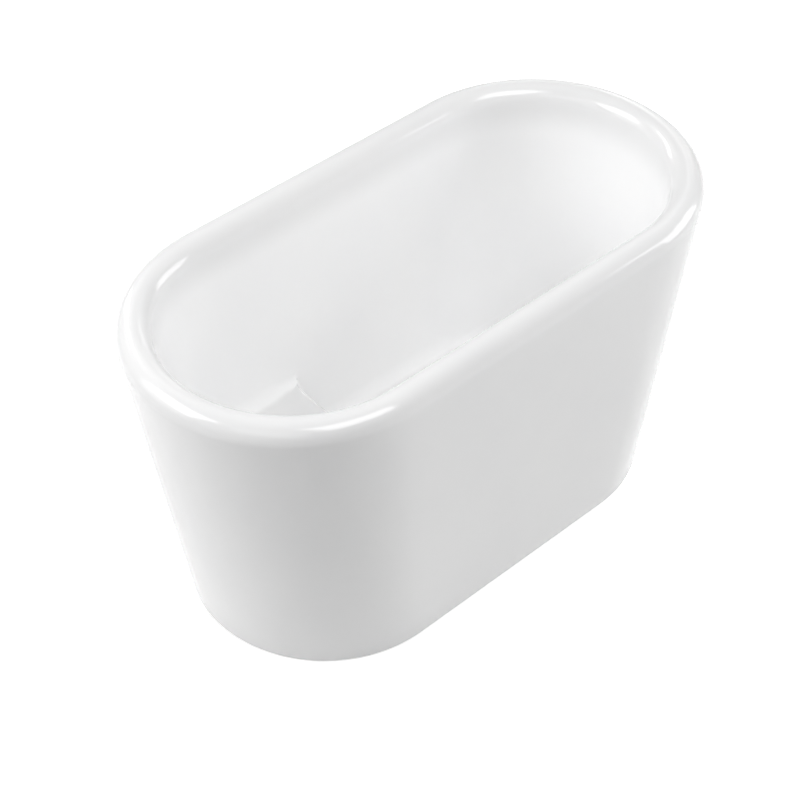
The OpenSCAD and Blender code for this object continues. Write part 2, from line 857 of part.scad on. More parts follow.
// Chrome flange with its threaded neck, the conical seat for the seal and a hub on four spokes
module waste_flange() {
    bevel = 1;
    spoke = 3;
    cone_top = throat_radius + cone_width;
    profile = [
        [neck_radius, neck_bottom_z], [neck_radius, flange_z], [waste_radius, flange_z],
        [waste_radius, flange_top_z - bevel], [waste_radius - 1.5 * bevel, flange_top_z],
        [cone_top + bevel, flange_top_z], [cone_top, flange_top_z - cone_lip],
        [throat_radius, flange_top_z - cone_lip - cone_depth], [throat_radius, neck_bottom_z],
    ];
    color(chrome_colour)
        translate([drain_x, 0, 0])
            difference() {
                union() {
                    rotate_extrude()
                        polygon(profile);
                    translate([0, 0, hub_z]) {
                        cylinder(r = hub_radius, h = hub_height);
                        for (turn = [0, 90])
                            rotate([0, 0, turn])
                                translate([-throat_radius - 1, -spoke / 2, 0])
                                    cube([2 * throat_radius + 2, spoke, hub_height]);
                    }
                }
                translate([0, 0, hub_z - 1])
                    cylinder(r = spigot_radius + stem_play, h = hub_height + 2);
            }
}

// Thin washer between the waste flange and the recess
module waste_washer() {
    color(rubber_colour)
        translate([drain_x, 0, recess_z])
            ring(waste_radius - 1, drain_hole_radius + gasket_play, washer_thickness);
}

// Thick gasket under the basin
module waste_gasket() {
    color(rubber_colour)
        translate([drain_x, 0, collar_z])
            ring(collar_radius, drain_hole_radius + gasket_play, gasket_thickness);
}

// Moulded waste body: collar, threaded barrel, inlet for the overflow and threaded outlet
module waste_body() {
    barrel = neck_radius + 5;
    chamber = outlet_radius - 3.4;
    outlet_top = outlet_z + outlet_length;
    shoulder = 4;
    profile = [
        [outlet_radius, outlet_z], [outlet_radius, outlet_top], [barrel, outlet_top + shoulder],
        [barrel, collar_z - collar_thickness], [collar_radius, collar_z - collar_thickness],
        [collar_radius, collar_z], [0, collar_z], [0, outlet_z],
    ];
    color(plastic_colour)
        translate([drain_x, 0, 0])
            difference() {
                union() {
                    rotate_extrude()
                        polygon(profile);
                    translate([0, 0, inlet_z])
                        rotate([90, 0, 0])
                            cylinder(r = inlet_radius, h = inlet_end);
                }
                translate([0, 0, neck_bottom_z])
                    cylinder(r = neck_radius + thread_play, h = 2 * collar_radius);
                translate([0, 0, outlet_z - 1])
                    cylinder(r = chamber, h = collar_z);
                translate([0, 0, inlet_z])
                    rotate([90, 0, 0])
                        cylinder(r = pipe_radius - pipe_wall, h = inlet_end);
                translate([0, -inlet_end + socket_depth, inlet_z])
                    rotate([90, 0, 0])
                        cylinder(r = socket_radius, h = inlet_end);
            }
}

// Closed click cartridge, screwed into the hub of the waste flange
module plug_cartridge() {
    color(chrome_colour)
        translate([drain_x, 0, cartridge_z])
            difference() {
                union() {
                    cylinder_between(-spigot_length, eps, spigot_radius);
                    cylinder(r = hub_radius, h = cartridge_height);
                }
                cylinder_between(1, cartridge_height + 1, stem_radius + stem_play);
            }
}

module plug_stem() {
    color(chrome_colour)
        translate([drain_x, 0, 0])
            cylinder_between(stem_z, cap_z, stem_radius);
}

// Domed cap of the waste plug
module plug_cap() {
    crown = 2 * plug_radius * plug_radius / cap_height;
    edge = 1.2;
    steps = 6;
    color(chrome_colour)
        translate([drain_x, 0, cap_z])
            rotate_extrude()
                polygon(concat(
                    [[0, 0], [plug_radius - edge, 0], [plug_radius, edge]],
                    [for (i = [0 : steps])
                        let (r = (plug_radius - edge / 6) * (1 - i / steps))
                        [r, cap_height - r * r / crown]]
                ));
}

// Rubber ring under the cap, which closes on the cone of the waste flange
module plug_seal() {
    cone_z = flange_top_z - cone_lip - cone_depth;
    outer = throat_radius + (cap_z - cap_seal_depth - cone_z) * cone_width / cone_depth - cap_seal_gap;
    color(rubber_colour)
        translate([drain_x, 0, cap_z - cap_seal_depth])
            ring(outer, outer - cap_seal_width, cap_seal_depth);
}

// Overflow body behind the wall: flange, bowl, screw boss, neck in the wall's hole and a spigot down
module overflow_body() {
    face = -shell_wall - gasket_thickness;
    neck = overflow_hole_radius - 1;
    neck_gap = 0.5;
    boss = 6;
    color(plastic_colour)
        at_overflow()
            difference() {
                union() {
                    cylinder_between(face - collar_thickness, face, collar_radius);
                    cylinder_between(-body_back, face, body_radius);
                    cylinder_between(face - eps, -neck_gap, neck);
                    translate([0, 0, -spigot_depth])
                        rotate([-90, 0, 0])
                            cylinder(r = inlet_radius, h = spigot_end);
                }
                difference() {
                    union() {
                        cylinder_between(body_wall - body_back, face - collar_thickness,
                                         body_radius - body_wall);
                        cylinder_between(face - collar_thickness - 1, 1, neck - body_wall);
                        translate([0, 0, -spigot_depth])
                            rotate([-90, 0, 0])
                                cylinder(r = pipe_radius - pipe_wall, h = spigot_end + 1);
                    }
                    cylinder_between(-body_back, -shell_wall, boss);
                }
                translate([0, spigot_end - socket_depth, -spigot_depth])
                    rotate([-90, 0, 0])
                        cylinder(r = socket_radius, h = spigot_end);
                cylinder_between(-overflow_screw_length, 1, overflow_screw_radius + screw_play);
            }
}

module overflow_gasket() {
    color(rubber_colour)
        at_overflow()
            translate([0, 0, -shell_wall - gasket_thickness])
                ring(collar_radius, overflow_hole_radius + gasket_play, gasket_thickness);
}

// Perforated plate on the bathing side, clamped by the screw
module overflow_faceplate() {
    plate_radius = cover_radius - cover_wall - cover_play;
    hole = 5.5;
    ring_radius = 15;
    color(chrome_colour)
        at_overflow()
            difference() {
                cylinder(r = plate_radius, h = faceplate_thickness);
                cylinder_between(-1, faceplate_thickness + 1, overflow_screw_radius + bolt_play);
                for (i = [0 : 5])
                    rotate([0, 0, 60 * i])
                        translate([ring_radius, 0, 0])
                            cylinder_between(-1, faceplate_thickness + 1, hole);
            }
}

module overflow_screw() {
    color(chrome_colour)
        at_overflow()
            translate([0, 0, faceplate_thickness])
                mirror([0, 0, 1])
                    screw(overflow_screw_radius, overflow_screw_length);
}

// Chrome cap snapped over the faceplate, open along its lower side
module overflow_cover() {
    lift = 0.5;
    edge = 1.5;
    slot_z = faceplate_thickness + 1;
    color(chrome_colour)
        at_overflow()
            difference() {
                rotate_extrude()
                    polygon([
                        [cover_radius - cover_wall, lift], [cover_radius, lift],
                        [cover_radius, cover_depth - edge], [cover_radius - edge, cover_depth],
                        [0, cover_depth], [0, cover_depth - cover_wall],
                        [cover_radius - cover_wall, cover_depth - cover_wall],
                    ]);
                translate([-cover_radius / 2, cover_radius / 2, slot_z])
                    cube([cover_radius, cover_radius, cover_depth - cover_wall - slot_z]);
            }
}

// Bent pipe from the overflow down the gap between the walls and across to the waste body. The
// straight lengths stop short of the bend by joint, where an elbow's socket or bore joins them.
module pipe_run(radius) {
    translate([drain_x, -inlet_end + pipe_insert, inlet_z])
        rotate([90, 0, 0])
            cylinder(r = radius, h = -bend_y - inlet_end + pipe_insert - pipe_joint);
    translate([drain_x, bend_y, inlet_z + bend_radius])
        rotate([90, 0, 90])
            rotate([0, 0, 180 + overflow_lean])
                rotate_extrude(angle = 90 - overflow_lean)
                    translate([bend_radius, 0])
                        circle(r = radius);
    at_overflow()
        translate([0, spigot_end - pipe_insert, -spigot_depth])
            rotate([-90, 0, 0])
                cylinder(r = radius, h = pipe_drop - spigot_end + pipe_insert - pipe_joint);
}

// Ends of the bend, Z away from it along the straight pipe
module at_bend_ends() {
    translate([drain_x, bend_y, inlet_z])
        rotate([-90, 0, 0])
            children();
    at_overflow()
        translate([0, pipe_drop, -spigot_depth])
            rotate([90, 0, 0])
                children();
}

// Two straight pipes cemented into the sockets of an elbow
module overflow_pipe() {
    bore = pipe_radius - pipe_wall;
    color(plastic_colour)
        difference() {
            union() {
                pipe_run(pipe_radius);
                at_bend_ends()
                    cylinder_between(-elbow_overlap, elbow_socket, pipe_radius + elbow_wall);
            }
            pipe_run(bore);
            at_bend_ends()
                cylinder_between(-1, pipe_joint + 1, bore + joint_play);
        }
}

// Compression nut, its open end at the origin and its end wall towards +Z
module pipe_nut() {
    difference() {
        cylinder(r = nut_radius, h = nut_length);
        translate([0, 0, -1])
            cylinder(r = inlet_radius + thread_play, h = nut_length - nut_end + 1);
        cylinder(r = pipe_radius + bolt_play, h = nut_length + 1);
    }
}

// Places a nut or a seal at each end of the overflow pipe, Z away from the socket's mouth
module at_pipe_joints() {
    translate([drain_x, -inlet_end, inlet_z])
        rotate([90, 0, 0])
            children();
    at_overflow()
        translate([0, spigot_end, -spigot_depth])
            rotate([-90, 0, 0])
                children();
}

module pipe_nuts() {
    color(plastic_colour)
        at_pipe_joints()
            translate([0, 0, seal_length + nut_end - nut_length])
                pipe_nut();
}

module pipe_seals() {
    color(rubber_colour)
        at_pipe_joints()
            ring(inlet_radius, pipe_radius + thread_play, seal_length);
}

inner_shell();
outer_skirt();
base_board();
seat_board();
rear_leg_channel();
front_leg_channel();
centre_leg_plate();
left_seat_post();
right_seat_post();
skirt_brackets();
board_screws();
post_bolts();
bracket_bolts();
skirt_screws();
weld_nuts();
lock_nuts();
foot_pad(0);  // foot_pad_1
foot_pad(1);  // foot_pad_2
foot_pad(2);  // foot_pad_3
foot_pad(3);  // foot_pad_4
foot_pad(4);  // foot_pad_5
foot_stud(0);  // foot_stud_1
foot_stud(1);  // foot_stud_2
foot_stud(2);  // foot_stud_3
foot_stud(3);  // foot_stud_4
foot_stud(4);  // foot_stud_5
waste_flange();
waste_washer();
waste_gasket();
waste_body();
plug_cartridge();
plug_stem();
plug_cap();
plug_seal();
overflow_body();
overflow_gasket();
overflow_faceplate();
overflow_screw();
overflow_cover();
overflow_pipe();
pipe_nuts();
pipe_seals();
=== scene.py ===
"""Looks of the sit-in bathtub: smooth acrylic shells, fittings, feet, materials, light and camera.

Lengths are in millimetres, as in the CAD source, and become metres when a mesh is made. The stage, the lamps
and the depths of bumps are in metres. Angles are in degrees.
"""

import math
from collections import namedtuple

import bmesh
import bpy
import numpy as np
from mathutils import Matrix, Vector


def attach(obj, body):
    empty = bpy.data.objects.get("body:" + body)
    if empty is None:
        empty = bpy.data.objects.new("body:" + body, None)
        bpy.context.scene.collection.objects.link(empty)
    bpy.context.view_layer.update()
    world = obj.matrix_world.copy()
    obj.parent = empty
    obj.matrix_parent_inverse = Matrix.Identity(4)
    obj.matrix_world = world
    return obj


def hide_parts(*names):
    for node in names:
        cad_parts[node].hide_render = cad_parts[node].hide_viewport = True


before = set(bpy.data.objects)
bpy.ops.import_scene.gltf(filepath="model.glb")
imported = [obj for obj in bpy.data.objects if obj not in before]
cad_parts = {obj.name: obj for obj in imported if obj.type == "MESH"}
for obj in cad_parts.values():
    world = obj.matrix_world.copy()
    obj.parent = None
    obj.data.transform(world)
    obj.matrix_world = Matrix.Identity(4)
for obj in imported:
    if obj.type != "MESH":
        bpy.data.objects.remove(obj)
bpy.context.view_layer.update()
scene = bpy.context.scene
MM = 0.001

# Sizes of the CAD model
TUB_L, TUB_W, TUB_H = 1290.0, 650.0, 700.0
BASE_L, BASE_W = 1081.0, 565.0
RIM_RADIUS = 33.0
SHELL_WALL, SKIRT_WALL, SKIRT_GAP, FLANGE_WIDTH = 6.0, 5.0, 3.0, 25.0
LIP_LENGTH, TONGUE_HEIGHT, LIP_CLEARANCE = 20.0, 16.0, 0.4
FLOOR_Z, FLOOR_L, FLOOR_W = 90.0, 974.0, 452.0
FLOOR_FILLET, FLOOR_FALL = 40.0, 5.0
SEAT_Z, SEAT_FRONT, SEAT_FILLET, SEAT_EDGE = 245.0, -133.0, 35.0, 18.0
WELL_CORNER, SEAT_CORNER, SEAT_WALL_SLOPE = 56.0, 10.0, 5.0
DRAIN_X, DRAIN_HOLE, RECESS_RADIUS, RECESS_DEPTH = 150.0, 24.5, 38.0, 2.0
OVERFLOW_Z, OVERFLOW_HOLE = 600.0, 25.0

RIM_R = TUB_W / 2
RIM_A = TUB_L / 2 - RIM_R
BASE_R = BASE_W / 2
BASE_A = BASE_L / 2 - BASE_R
FLOOR_R = FLOOR_W / 2
FLOOR_A = FLOOR_L / 2 - FLOOR_R
RIM_Z = TUB_H - RIM_RADIUS
CORNER_X = SEAT_FRONT + SEAT_CORNER
SKIRT_FLANGE_Z = SKIRT_GAP + SKIRT_WALL


def sin(a):
    return math.sin(math.radians(a))


def cos(a):
    return math.cos(math.radians(a))


def tan(a):
    return math.tan(math.radians(a))


def steps_to(angle, count):
    """Equal steps from 0 to an angle."""
    return [angle * i / count for i in range(count + 1)]


# Walls of the tub, the same surfaces as in the CAD source with many more columns and rings

# Columns round half an end, along the side, round the well's corner and along the seat
ARC_N, SIDE_N, CORNER_N, SEAT_N = 40, 20, 14, 10
# How far the columns along the seat, and then those round its end, go across its front towards the middle
SEAT_STEPS, SEAT_SHARES = [0, 0.12, 0.35, 0.65, 1], [0, 0.06, 0.14, 0.24, 0.34]
SEAT_END_SHARE = 0.66

Column = namedtuple("Column", "end place corner share", defaults=(None, 0.0))


def make_columns():
    """Half of the outline, from the foot end round one side to the seat end.

    A column's end is 1 or -1 on the half circle of the foot or the seat, where its place is an angle, and
    0 on the side, where its place is x. Its corner is the angle round the well's corner, or None before
    it, and its share is how far it has gone across the seat's front.
    """
    cols = [Column(1, angle) for angle in steps_to(90.0, ARC_N)]
    for i in range(1, SIDE_N + 1):
        cols.append(Column(0, FLOOR_A + (CORNER_X - FLOOR_A) * i / (SIDE_N + 1)))
    for w in steps_to(90.0, CORNER_N):
        cols.append(Column(0, CORNER_X - SEAT_CORNER * sin(w), w))
    for i in range(1, SEAT_N + 1):
        s = i / (SEAT_N + 1)
        share = float(np.interp(s, SEAT_STEPS, SEAT_SHARES))
        cols.append(Column(0, SEAT_FRONT - (FLOOR_A + SEAT_FRONT) * s, 90.0, share))
    for i in range(ARC_N, -1, -1):
        cols.append(Column(-1, 90.0 * i / ARC_N, 90.0, 1 - SEAT_END_SHARE * i / ARC_N))
    return cols


COLUMNS = make_columns()


def angle_of(c):
    return 90.0 if c.end == 0 else c.place


def stadium(c, a, r):
    """Where a column meets the outline of two half circles of radius r about x = a and x = -a."""
    if c.end == 0:
        return np.array([c.place, r])
    return np.array([c.end * (a + r * cos(c.place)), r * sin(c.place)])


def outer_lean(angle):
    dx = (RIM_A - BASE_A) * cos(angle) + RIM_R - RIM_RADIUS - BASE_R
    return math.degrees(math.atan2(dx, RIM_Z) + math.asin(RIM_RADIUS / math.hypot(dx, RIM_Z)))


def inner_lean(angle):
    dx = (RIM_A - FLOOR_A) * cos(angle) + RIM_R - RIM_RADIUS - FLOOR_R
    dz = RIM_Z - FLOOR_Z
    return math.degrees(math.atan2(dx, dz) - math.asin(RIM_RADIUS / math.hypot(dx, dz)))


SEAM_Z = RIM_Z - RIM_RADIUS * sin(outer_lean(90)) - LIP_LENGTH


def skirt_xy(c, z, inset):
    lean = outer_lean(angle_of(c))
    t = z / (RIM_Z - RIM_RADIUS * sin(lean))
    a = BASE_A + (RIM_A - BASE_A) * t
    r = BASE_R + (RIM_R - RIM_RADIUS * (1 - cos(lean)) - BASE_R) * t
    return stadium(c, a, r - inset / cos(lean))


def basin_xy(c, z, outset):
    lean = inner_lean(angle_of(c))
    t = (z - FLOOR_Z) / (RIM_Z + RIM_RADIUS * sin(lean) - FLOOR_Z)
    a = FLOOR_A + (RIM_A - FLOOR_A) * t
    r = FLOOR_R + (RIM_R - RIM_RADIUS * (1 + cos(lean)) - FLOOR_R) * t
    return stadium(c, a, r + outset / cos(lean))


def basin_side(z):
    return basin_xy(Column(0, 0.0), z, 0)[1]


def corner_radius(z):
    return WELL_CORNER + (SEAT_CORNER - WELL_CORNER) * (z - FLOOR_Z) / (SEAT_Z - FLOOR_Z)


def seat_front(z):
    return SEAT_FRONT + (SEAT_Z - z) * tan(SEAT_WALL_SLOPE)


def well_xy(c, z, outset):
    """Wall of the foot well: the basin's own wall, then the corner, then the seat's front."""
    if c.corner is None:
        p = basin_xy(c, z, outset)
        if c.end == 0:
            low = min(z, SEAT_Z)
            start = seat_front(low) + corner_radius(low)
            p[0] = FLOOR_A + (c.place - FLOOR_A) * (start - FLOOR_A) / (CORNER_X - FLOOR_A)
        return p
    front = seat_front(z)
    corner = corner_radius(z)
    r = corner + outset
    return np.array([front + corner - r * sin(c.corner),
                     (basin_side(z) - corner + r * cos(c.corner)) * (1 - c.share)])


def wall_inward(c):
    return np.array([0.0, -1.0]) if c.end == 0 else np.array([-c.end * cos(c.place), -sin(c.place)])


def seat_growth(c):
    """0 beside the well, 1 where the seat has its whole fillet and edge, and between them in the corner."""
    if c.corner is None:
        return 0.0
    if c.end == -1:
        return 1.0
    return min(1.0, (basin_side(SEAT_Z) - well_xy(c, SEAT_Z, 0)[1]) / (SEAT_FILLET + SEAT_EDGE))


def ring_of(point):
    """Closed ring from one function of a column, mirrored over the long axis."""
    half = np.array([point(c) for c in COLUMNS])
    other = half[-2:0:-1].copy()
    other[:, 1] *= -1
    return np.vstack([half, other])


def at(p, z):
    return [p[0], p[1], z]


def roll_rings(steps, radius):
    """The rim's roll, from the skirt's side over the top to the basin's side."""
    rings = []
    for i in range(steps + 1):
        def point(c, f=i / steps):
            angle = angle_of(c)
            first, last = -outer_lean(angle), 180 - inner_lean(angle)
            w = first + (last - first) * f
            return at(stadium(c, RIM_A, RIM_R - RIM_RADIUS + radius * cos(w)), RIM_Z + radius * sin(w))
        rings.append(ring_of(point))
    return rings


def skirt_ring(z, inset):
    return ring_of(lambda c: at(skirt_xy(c, z, inset), z))


def seat_height(grown, z_seat, share):
    """Height on the seat where it has grown, and a share of the way down the plain wall where it hasn't."""
    z_wall = SEAT_Z + SEAT_FILLET - (SEAT_FILLET + SEAT_EDGE) * share
    return grown * z_seat + (1 - grown) * z_wall


def seat_fillet_ring(w, share, outset):
    def point(c):
        grown = seat_growth(c)
        r = grown * (SEAT_FILLET + outset)
        z = seat_height(grown, SEAT_Z - outset + r * (1 - sin(w)), share)
        return at(basin_xy(c, z, outset) + wall_inward(c) * r * (1 - cos(w)), z)
    return ring_of(point)


def seat_edge_ring(w, share, outset):
    def point(c):
        grown = seat_growth(c)
        r = grown * (SEAT_EDGE - outset)
        z = seat_height(grown, SEAT_Z - outset - r * (1 - cos(w)), share)
        p = well_xy(c, z, outset)
        if grown:
            p = p + np.array([-sin(c.corner), cos(c.corner)]) * r * (1 - sin(w))
        return at(p, z)
    return ring_of(point)


def floor_fillet_ring(f, outset, fall):
    def point(c):
        lean = inner_lean(angle_of(c)) if c.corner is None else SEAT_WALL_SLOPE
        w = lean + (90 - lean) * f
        r = FLOOR_FILLET + outset
        z = FLOOR_Z + fall - outset + r * (1 - sin(w))
        return at(well_xy(c, z, outset - r * (1 - cos(w - lean)) / cos(lean)), z)
    return ring_of(point)


FLOOR_EDGE = floor_fillet_ring(1, 0, FLOOR_FALL)
DRAIN_ANGLE = np.arctan2(FLOOR_EDGE[:, 1], FLOOR_EDGE[:, 0] - DRAIN_X)


def drain_ring(radius, z):
    return np.column_stack([DRAIN_X + radius * np.cos(DRAIN_ANGLE), radius * np.sin(DRAIN_ANGLE),
                            np.full(len(DRAIN_ANGLE), z)])


def between(a, b, count, edge):
    """Rings between two rings, with a close ring beside each of them to keep the shading true."""
    steps = [edge] + list(np.linspace(0, 1, count + 2)[1:-1]) + [1 - edge]
    return [a + (b - a) * t for t in steps]


def basin_rings(outset, fall, wall=16, fillet=10, seat=10):
    """Rings from the floor's edge up to the last ring under the roll."""
    n = 2 * fillet + 1
    steps = range(fillet, -1, -1)
    low = [floor_fillet_ring(i / fillet, outset, fall) for i in steps]
    edge = [seat_edge_ring(90 * i / fillet, 1 - (fillet - i) / n, outset) for i in steps]
    back = [seat_fillet_ring(90 * i / fillet, i / n, outset) for i in steps]
    roll_end = roll_rings(1, RIM_RADIUS - outset)[1]
    return (low + between(low[-1], edge[0], 6, 0.03) + edge + between(edge[-1], back[0], seat, 0.02) + back
            + between(back[-1], roll_end, wall, 0.006))


# Meshes

SHARP_ANGLE = 35.0


def new_object(name, data):
    made = bpy.data.objects.new(name, data)
    scene.collection.objects.link(made)
    return made


def shade(mesh, sharp=SHARP_ANGLE):
    """Smooth shading apart from edges sharper than an angle."""
    mesh.polygons.foreach_set("use_smooth", [True] * len(mesh.polygons))
    mesh.set_sharp_from_angle(angle=math.radians(sharp))


def mesh_piece(name, points, faces, materials, face_slots=None, sharp=SHARP_ANGLE, body="tub"):
    """A mesh object in metres from points in millimetres."""
    mesh = bpy.data.meshes.new(name)
    mesh.from_pydata([tuple(float(v) * MM for v in p) for p in points], [], faces)
    for material in materials:
        mesh.materials.append(material)
    if face_slots is not None:
        mesh.polygons.foreach_set("material_index", face_slots)
    clean = bmesh.new()
    clean.from_mesh(mesh)
    bmesh.ops.remove_doubles(clean, verts=clean.verts, dist=1e-7)
    bmesh.ops.recalc_face_normals(clean, faces=clean.faces)
    clean.to_mesh(mesh)
    clean.free()
    shade(mesh, sharp)
    mesh.update()
    piece = new_object(name, mesh)
    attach(piece, body)
    return piece


def loft(rings, closed=True):
    """Points and quads through rings; closed joins the last ring to the first."""
    n, m = len(rings[0]), len(rings)
    points = [tuple(p) for ring in rings for p in ring]
    faces = []
    for k in range(m if closed else m - 1):
        a, b = k * n, ((k + 1) % m) * n
        for i in range(n):
            j = (i + 1) % n
            faces.append((a + i, a + j, b + j, b + i))
    return points, faces


def cut(piece, cutter):
    """Cuts a closed mesh out of a piece and applies the result."""
    mod = piece.modifiers.new("cut", "BOOLEAN")
    mod.operation = "DIFFERENCE"
    mod.solver = "EXACT"
    mod.object = cutter
    graph = bpy.context.evaluated_depsgraph_get()
    done = bpy.data.meshes.new_from_object(piece.evaluated_get(graph))
    piece.modifiers.clear()
    old = piece.data
    piece.data = done
    shade(done)
    bpy.data.meshes.remove(old)
    bpy.data.objects.remove(cutter)


# Shader nodes

def grey(level):
    return (level, level, level, 1)


def add(tree, kind, inputs, **settings):
    """A shader node with its settings. An input is a value, or the output of another node that feeds it."""
    node = tree.nodes.new("ShaderNode" + kind)
    for key, value in settings.items():
        setattr(node, key, value)
    for key, value in inputs.items():
        if isinstance(value, bpy.types.NodeSocket):
            tree.links.new(value, node.inputs[key])
        else:
            node.inputs[key].default_value = value
    return node


def node_material(name, colour, roughness, metallic=0.0):
    mat = bpy.data.materials.new(name)
    mat.use_nodes = True
    shader = mat.node_tree.nodes["Principled BSDF"]
    shader.inputs["Base Color"].default_value = (*colour, 1)
    shader.inputs["Roughness"].default_value = roughness
    shader.inputs["Metallic"].default_value = metallic
    return mat, mat.node_tree, shader


def place(tree):
    """The place on the object, in metres."""
    return add(tree, "TexCoord", {}).outputs["Object"]


def noise(tree, scale, detail=2.0, stretch=None, output="Fac"):
    where = place(tree)
    if stretch:
        where = add(tree, "Mapping", {"Vector": where, "Scale": stretch}).outputs["Vector"]
    return add(tree, "TexNoise", {"Vector": where, "Scale": scale, "Detail": detail}).outputs[output]


def warped(tree, scale, amount):
    """The place on the object, moved about by noise."""
    warp = noise(tree, scale, output="Color")
    inputs = {0: warp, 1: (amount, amount, amount), 2: place(tree)}
    return add(tree, "VectorMath", inputs, operation="MULTIPLY_ADD").outputs["Vector"]


def ramp(tree, source, low, high, start=0.3, end=0.7):
    """Colour ramp between two colours or two numbers, driven by a texture."""
    node = add(tree, "ValToRGB", {"Fac": source})
    for stop, position, value in zip(node.color_ramp.elements, (start, end), (low, high)):
        stop.position = position
        stop.color = (*value, 1) if hasattr(value, "__len__") else grey(value)
    return node.outputs["Color"]


def drive(tree, shader, key, source, low, high, start=0.3, end=0.7):
    """Runs an input of the shader between two colours or two numbers with a texture."""
    tree.links.new(ramp(tree, source, low, high, start, end), shader.inputs[key])


def multiply(tree, colour, other):
    inputs = {"Fac": 1.0, "Color1": colour, "Color2": other}
    return add(tree, "MixRGB", inputs, blend_type="MULTIPLY").outputs["Color"]


def bump(tree, source, shader, strength, distance, below=None):
    """Bump on the shader's normal, over an earlier bump where one is given."""
    node = add(tree, "Bump", {"Height": source, "Strength": strength, "Distance": distance})
    if below is not None:
        tree.links.new(below, node.inputs["Normal"])
    tree.links.new(node.outputs["Normal"], shader.inputs["Normal"])
    return node.outputs["Normal"]


def seen_ray(tree):
    """1 for rays of the camera and for mirrored and refracted ones, and 0 for rays that gather light."""
    path = add(tree, "LightPath", {})
    seen = path.outputs["Is Camera Ray"]
    for kind in ("Is Glossy Ray", "Is Transmission Ray"):
        seen = add(tree, "Math", {0: seen, 1: path.outputs[kind]}, operation="MAXIMUM").outputs["Value"]
    return seen


# Materials

def acrylic_material(name, painted_light_levels, painted_level_shade=0.0):
    """Cast white acrylic: a clear gloss over white, with the faint waviness of a vacuum-formed sheet.

    The two levels are heights with a white at each, and the white that changes between them is painted light
    and shade: whiter deep in the basin, greyer over the rim's top. The faces that lie level are greyer by a
    further share, which is painted shade.
    """
    mat, tree, shader = node_material(name, (painted_light_levels[0][1],) * 3, 0.12)
    shader.inputs["IOR"].default_value = 1.49
    # Painted light and shade by height: the sheet's white is set higher deep in the basin and lower over the
    # rim's top.
    height = add(tree, "SeparateXYZ", {"Vector": place(tree)}).outputs["Z"]
    share = add(tree, "Math", {0: height, 1: 1 / (TUB_H * MM)}, operation="MULTIPLY").outputs["Value"]
    white = add(tree, "ValToRGB", {"Fac": share})
    white.color_ramp.interpolation = "EASE"
    for stop, (z, level) in zip(white.color_ramp.elements, painted_light_levels):
        stop.position = z / TUB_H
        stop.color = grey(level)
    tone = ramp(tree, noise(tree, 5.0, 3.0), (0.984, 0.985, 0.989), (1.0, 1.0, 1.0), 0.35, 0.65)
    colour = multiply(tree, tone, white.outputs["Color"])
    # Painted shade on the faces that lie level: their white is made greyer by a share.
    if painted_level_shade:
        normal = add(tree, "NewGeometry", {}).outputs["Normal"]
        up = add(tree, "SeparateXYZ", {"Vector": normal}).outputs["Z"]
        inputs = {"Value": up, "From Min": 0.80, "From Max": 0.98, "To Min": 1.0,
                  "To Max": 1.0 - painted_level_shade}
        painted_shade = add(tree, "MapRange", inputs, interpolation_type="SMOOTHSTEP")
        colour = multiply(tree, colour, painted_shade.outputs["Result"])
    tree.links.new(colour, shader.inputs["Base Color"])
    wave = bump(tree, noise(tree, 22.0, 1.0), shader, 0.04, 0.0006)
    bump(tree, noise(tree, 900.0), shader, 0.02, 0.00004, below=wave)
    return mat


def laminate_material():
    """Back of the sheets: resin with chopped glass strands, cream and uneven."""
    mat, tree, shader = node_material("glass_fibre_back", (0.62, 0.60, 0.50), 0.42)
    resin = ramp(tree, noise(tree, 9.0, 5.0), (0.50, 0.48, 0.38), (0.72, 0.70, 0.62))
    cells = add(tree, "TexVoronoi", {"Vector": warped(tree, 40.0, 0.03), "Scale": 110.0},
                feature="DISTANCE_TO_EDGE")
    strands = ramp(tree, cells.outputs["Distance"], 1.0, 0.0, 0.0, 0.09)
    blend = add(tree, "MixRGB", {"Fac": strands, "Color1": resin, "Color2": (0.80, 0.79, 0.72, 1)})
    tree.links.new(blend.outputs["Color"], shader.inputs["Base Color"])
    bump(tree, strands, shader, 0.5, 0.0004)
    return mat


def metal(name, low, high, roughness, drift_scale, grain, stretch=None):
    """Metal whose colour and roughness drift; its grain is a bump's scale, detail, strength and depth."""
    mat, tree, shader = node_material(name, high, roughness[0], 1.0)
    drift = noise(tree, drift_scale, 4.0)
    drive(tree, shader, "Base Color", drift, low, high)
    drive(tree, shader, "Roughness", drift, roughness[1], roughness[0])
    scale, detail, strength, depth = grain
    bump(tree, noise(tree, scale, detail, stretch), shader, strength, depth)
    return mat


def galvanised_material():
    """Hot-dip galvanised sheet: crystals of a few millimetres, each with its own grey and shine."""
    mat, tree, shader = node_material("galvanised_sheet", (0.55, 0.56, 0.57), 0.4, 1.0)
    crystals = add(tree, "TexVoronoi", {"Vector": place(tree), "Scale": 130.0})
    tone = crystals.outputs["Color"]
    drive(tree, shader, "Base Color", tone, (0.44, 0.455, 0.47), (0.68, 0.69, 0.70), 0.2, 0.8)
    drive(tree, shader, "Roughness", tone, 0.50, 0.30, 0.2, 0.8)
    edges = bump(tree, crystals.outputs["Distance"], shader, 0.15, 0.0001)
    bump(tree, noise(tree, 1500.0, 3.0), shader, 0.12, 0.00003, below=edges)
    return mat


def chipboard_material():
    """Chipboard: pressed flakes in several browns, with pores between them."""
    mat, tree, shader = node_material("chipboard", (0.45, 0.33, 0.20), 0.8)
    flakes = add(tree, "TexVoronoi", {"Vector": warped(tree, 90.0, 0.012), "Scale": 260.0})
    tone = flakes.outputs["Color"]
    drive(tree, shader, "Base Color", tone, (0.30, 0.20, 0.11), (0.62, 0.48, 0.31), 0.15, 0.85)
    relief = bump(tree, flakes.outputs["Distance"], shader, 0.5, 0.0004)
    bump(tree, noise(tree, 700.0, 4.0), shader, 0.4, 0.0002, below=relief)
    return mat


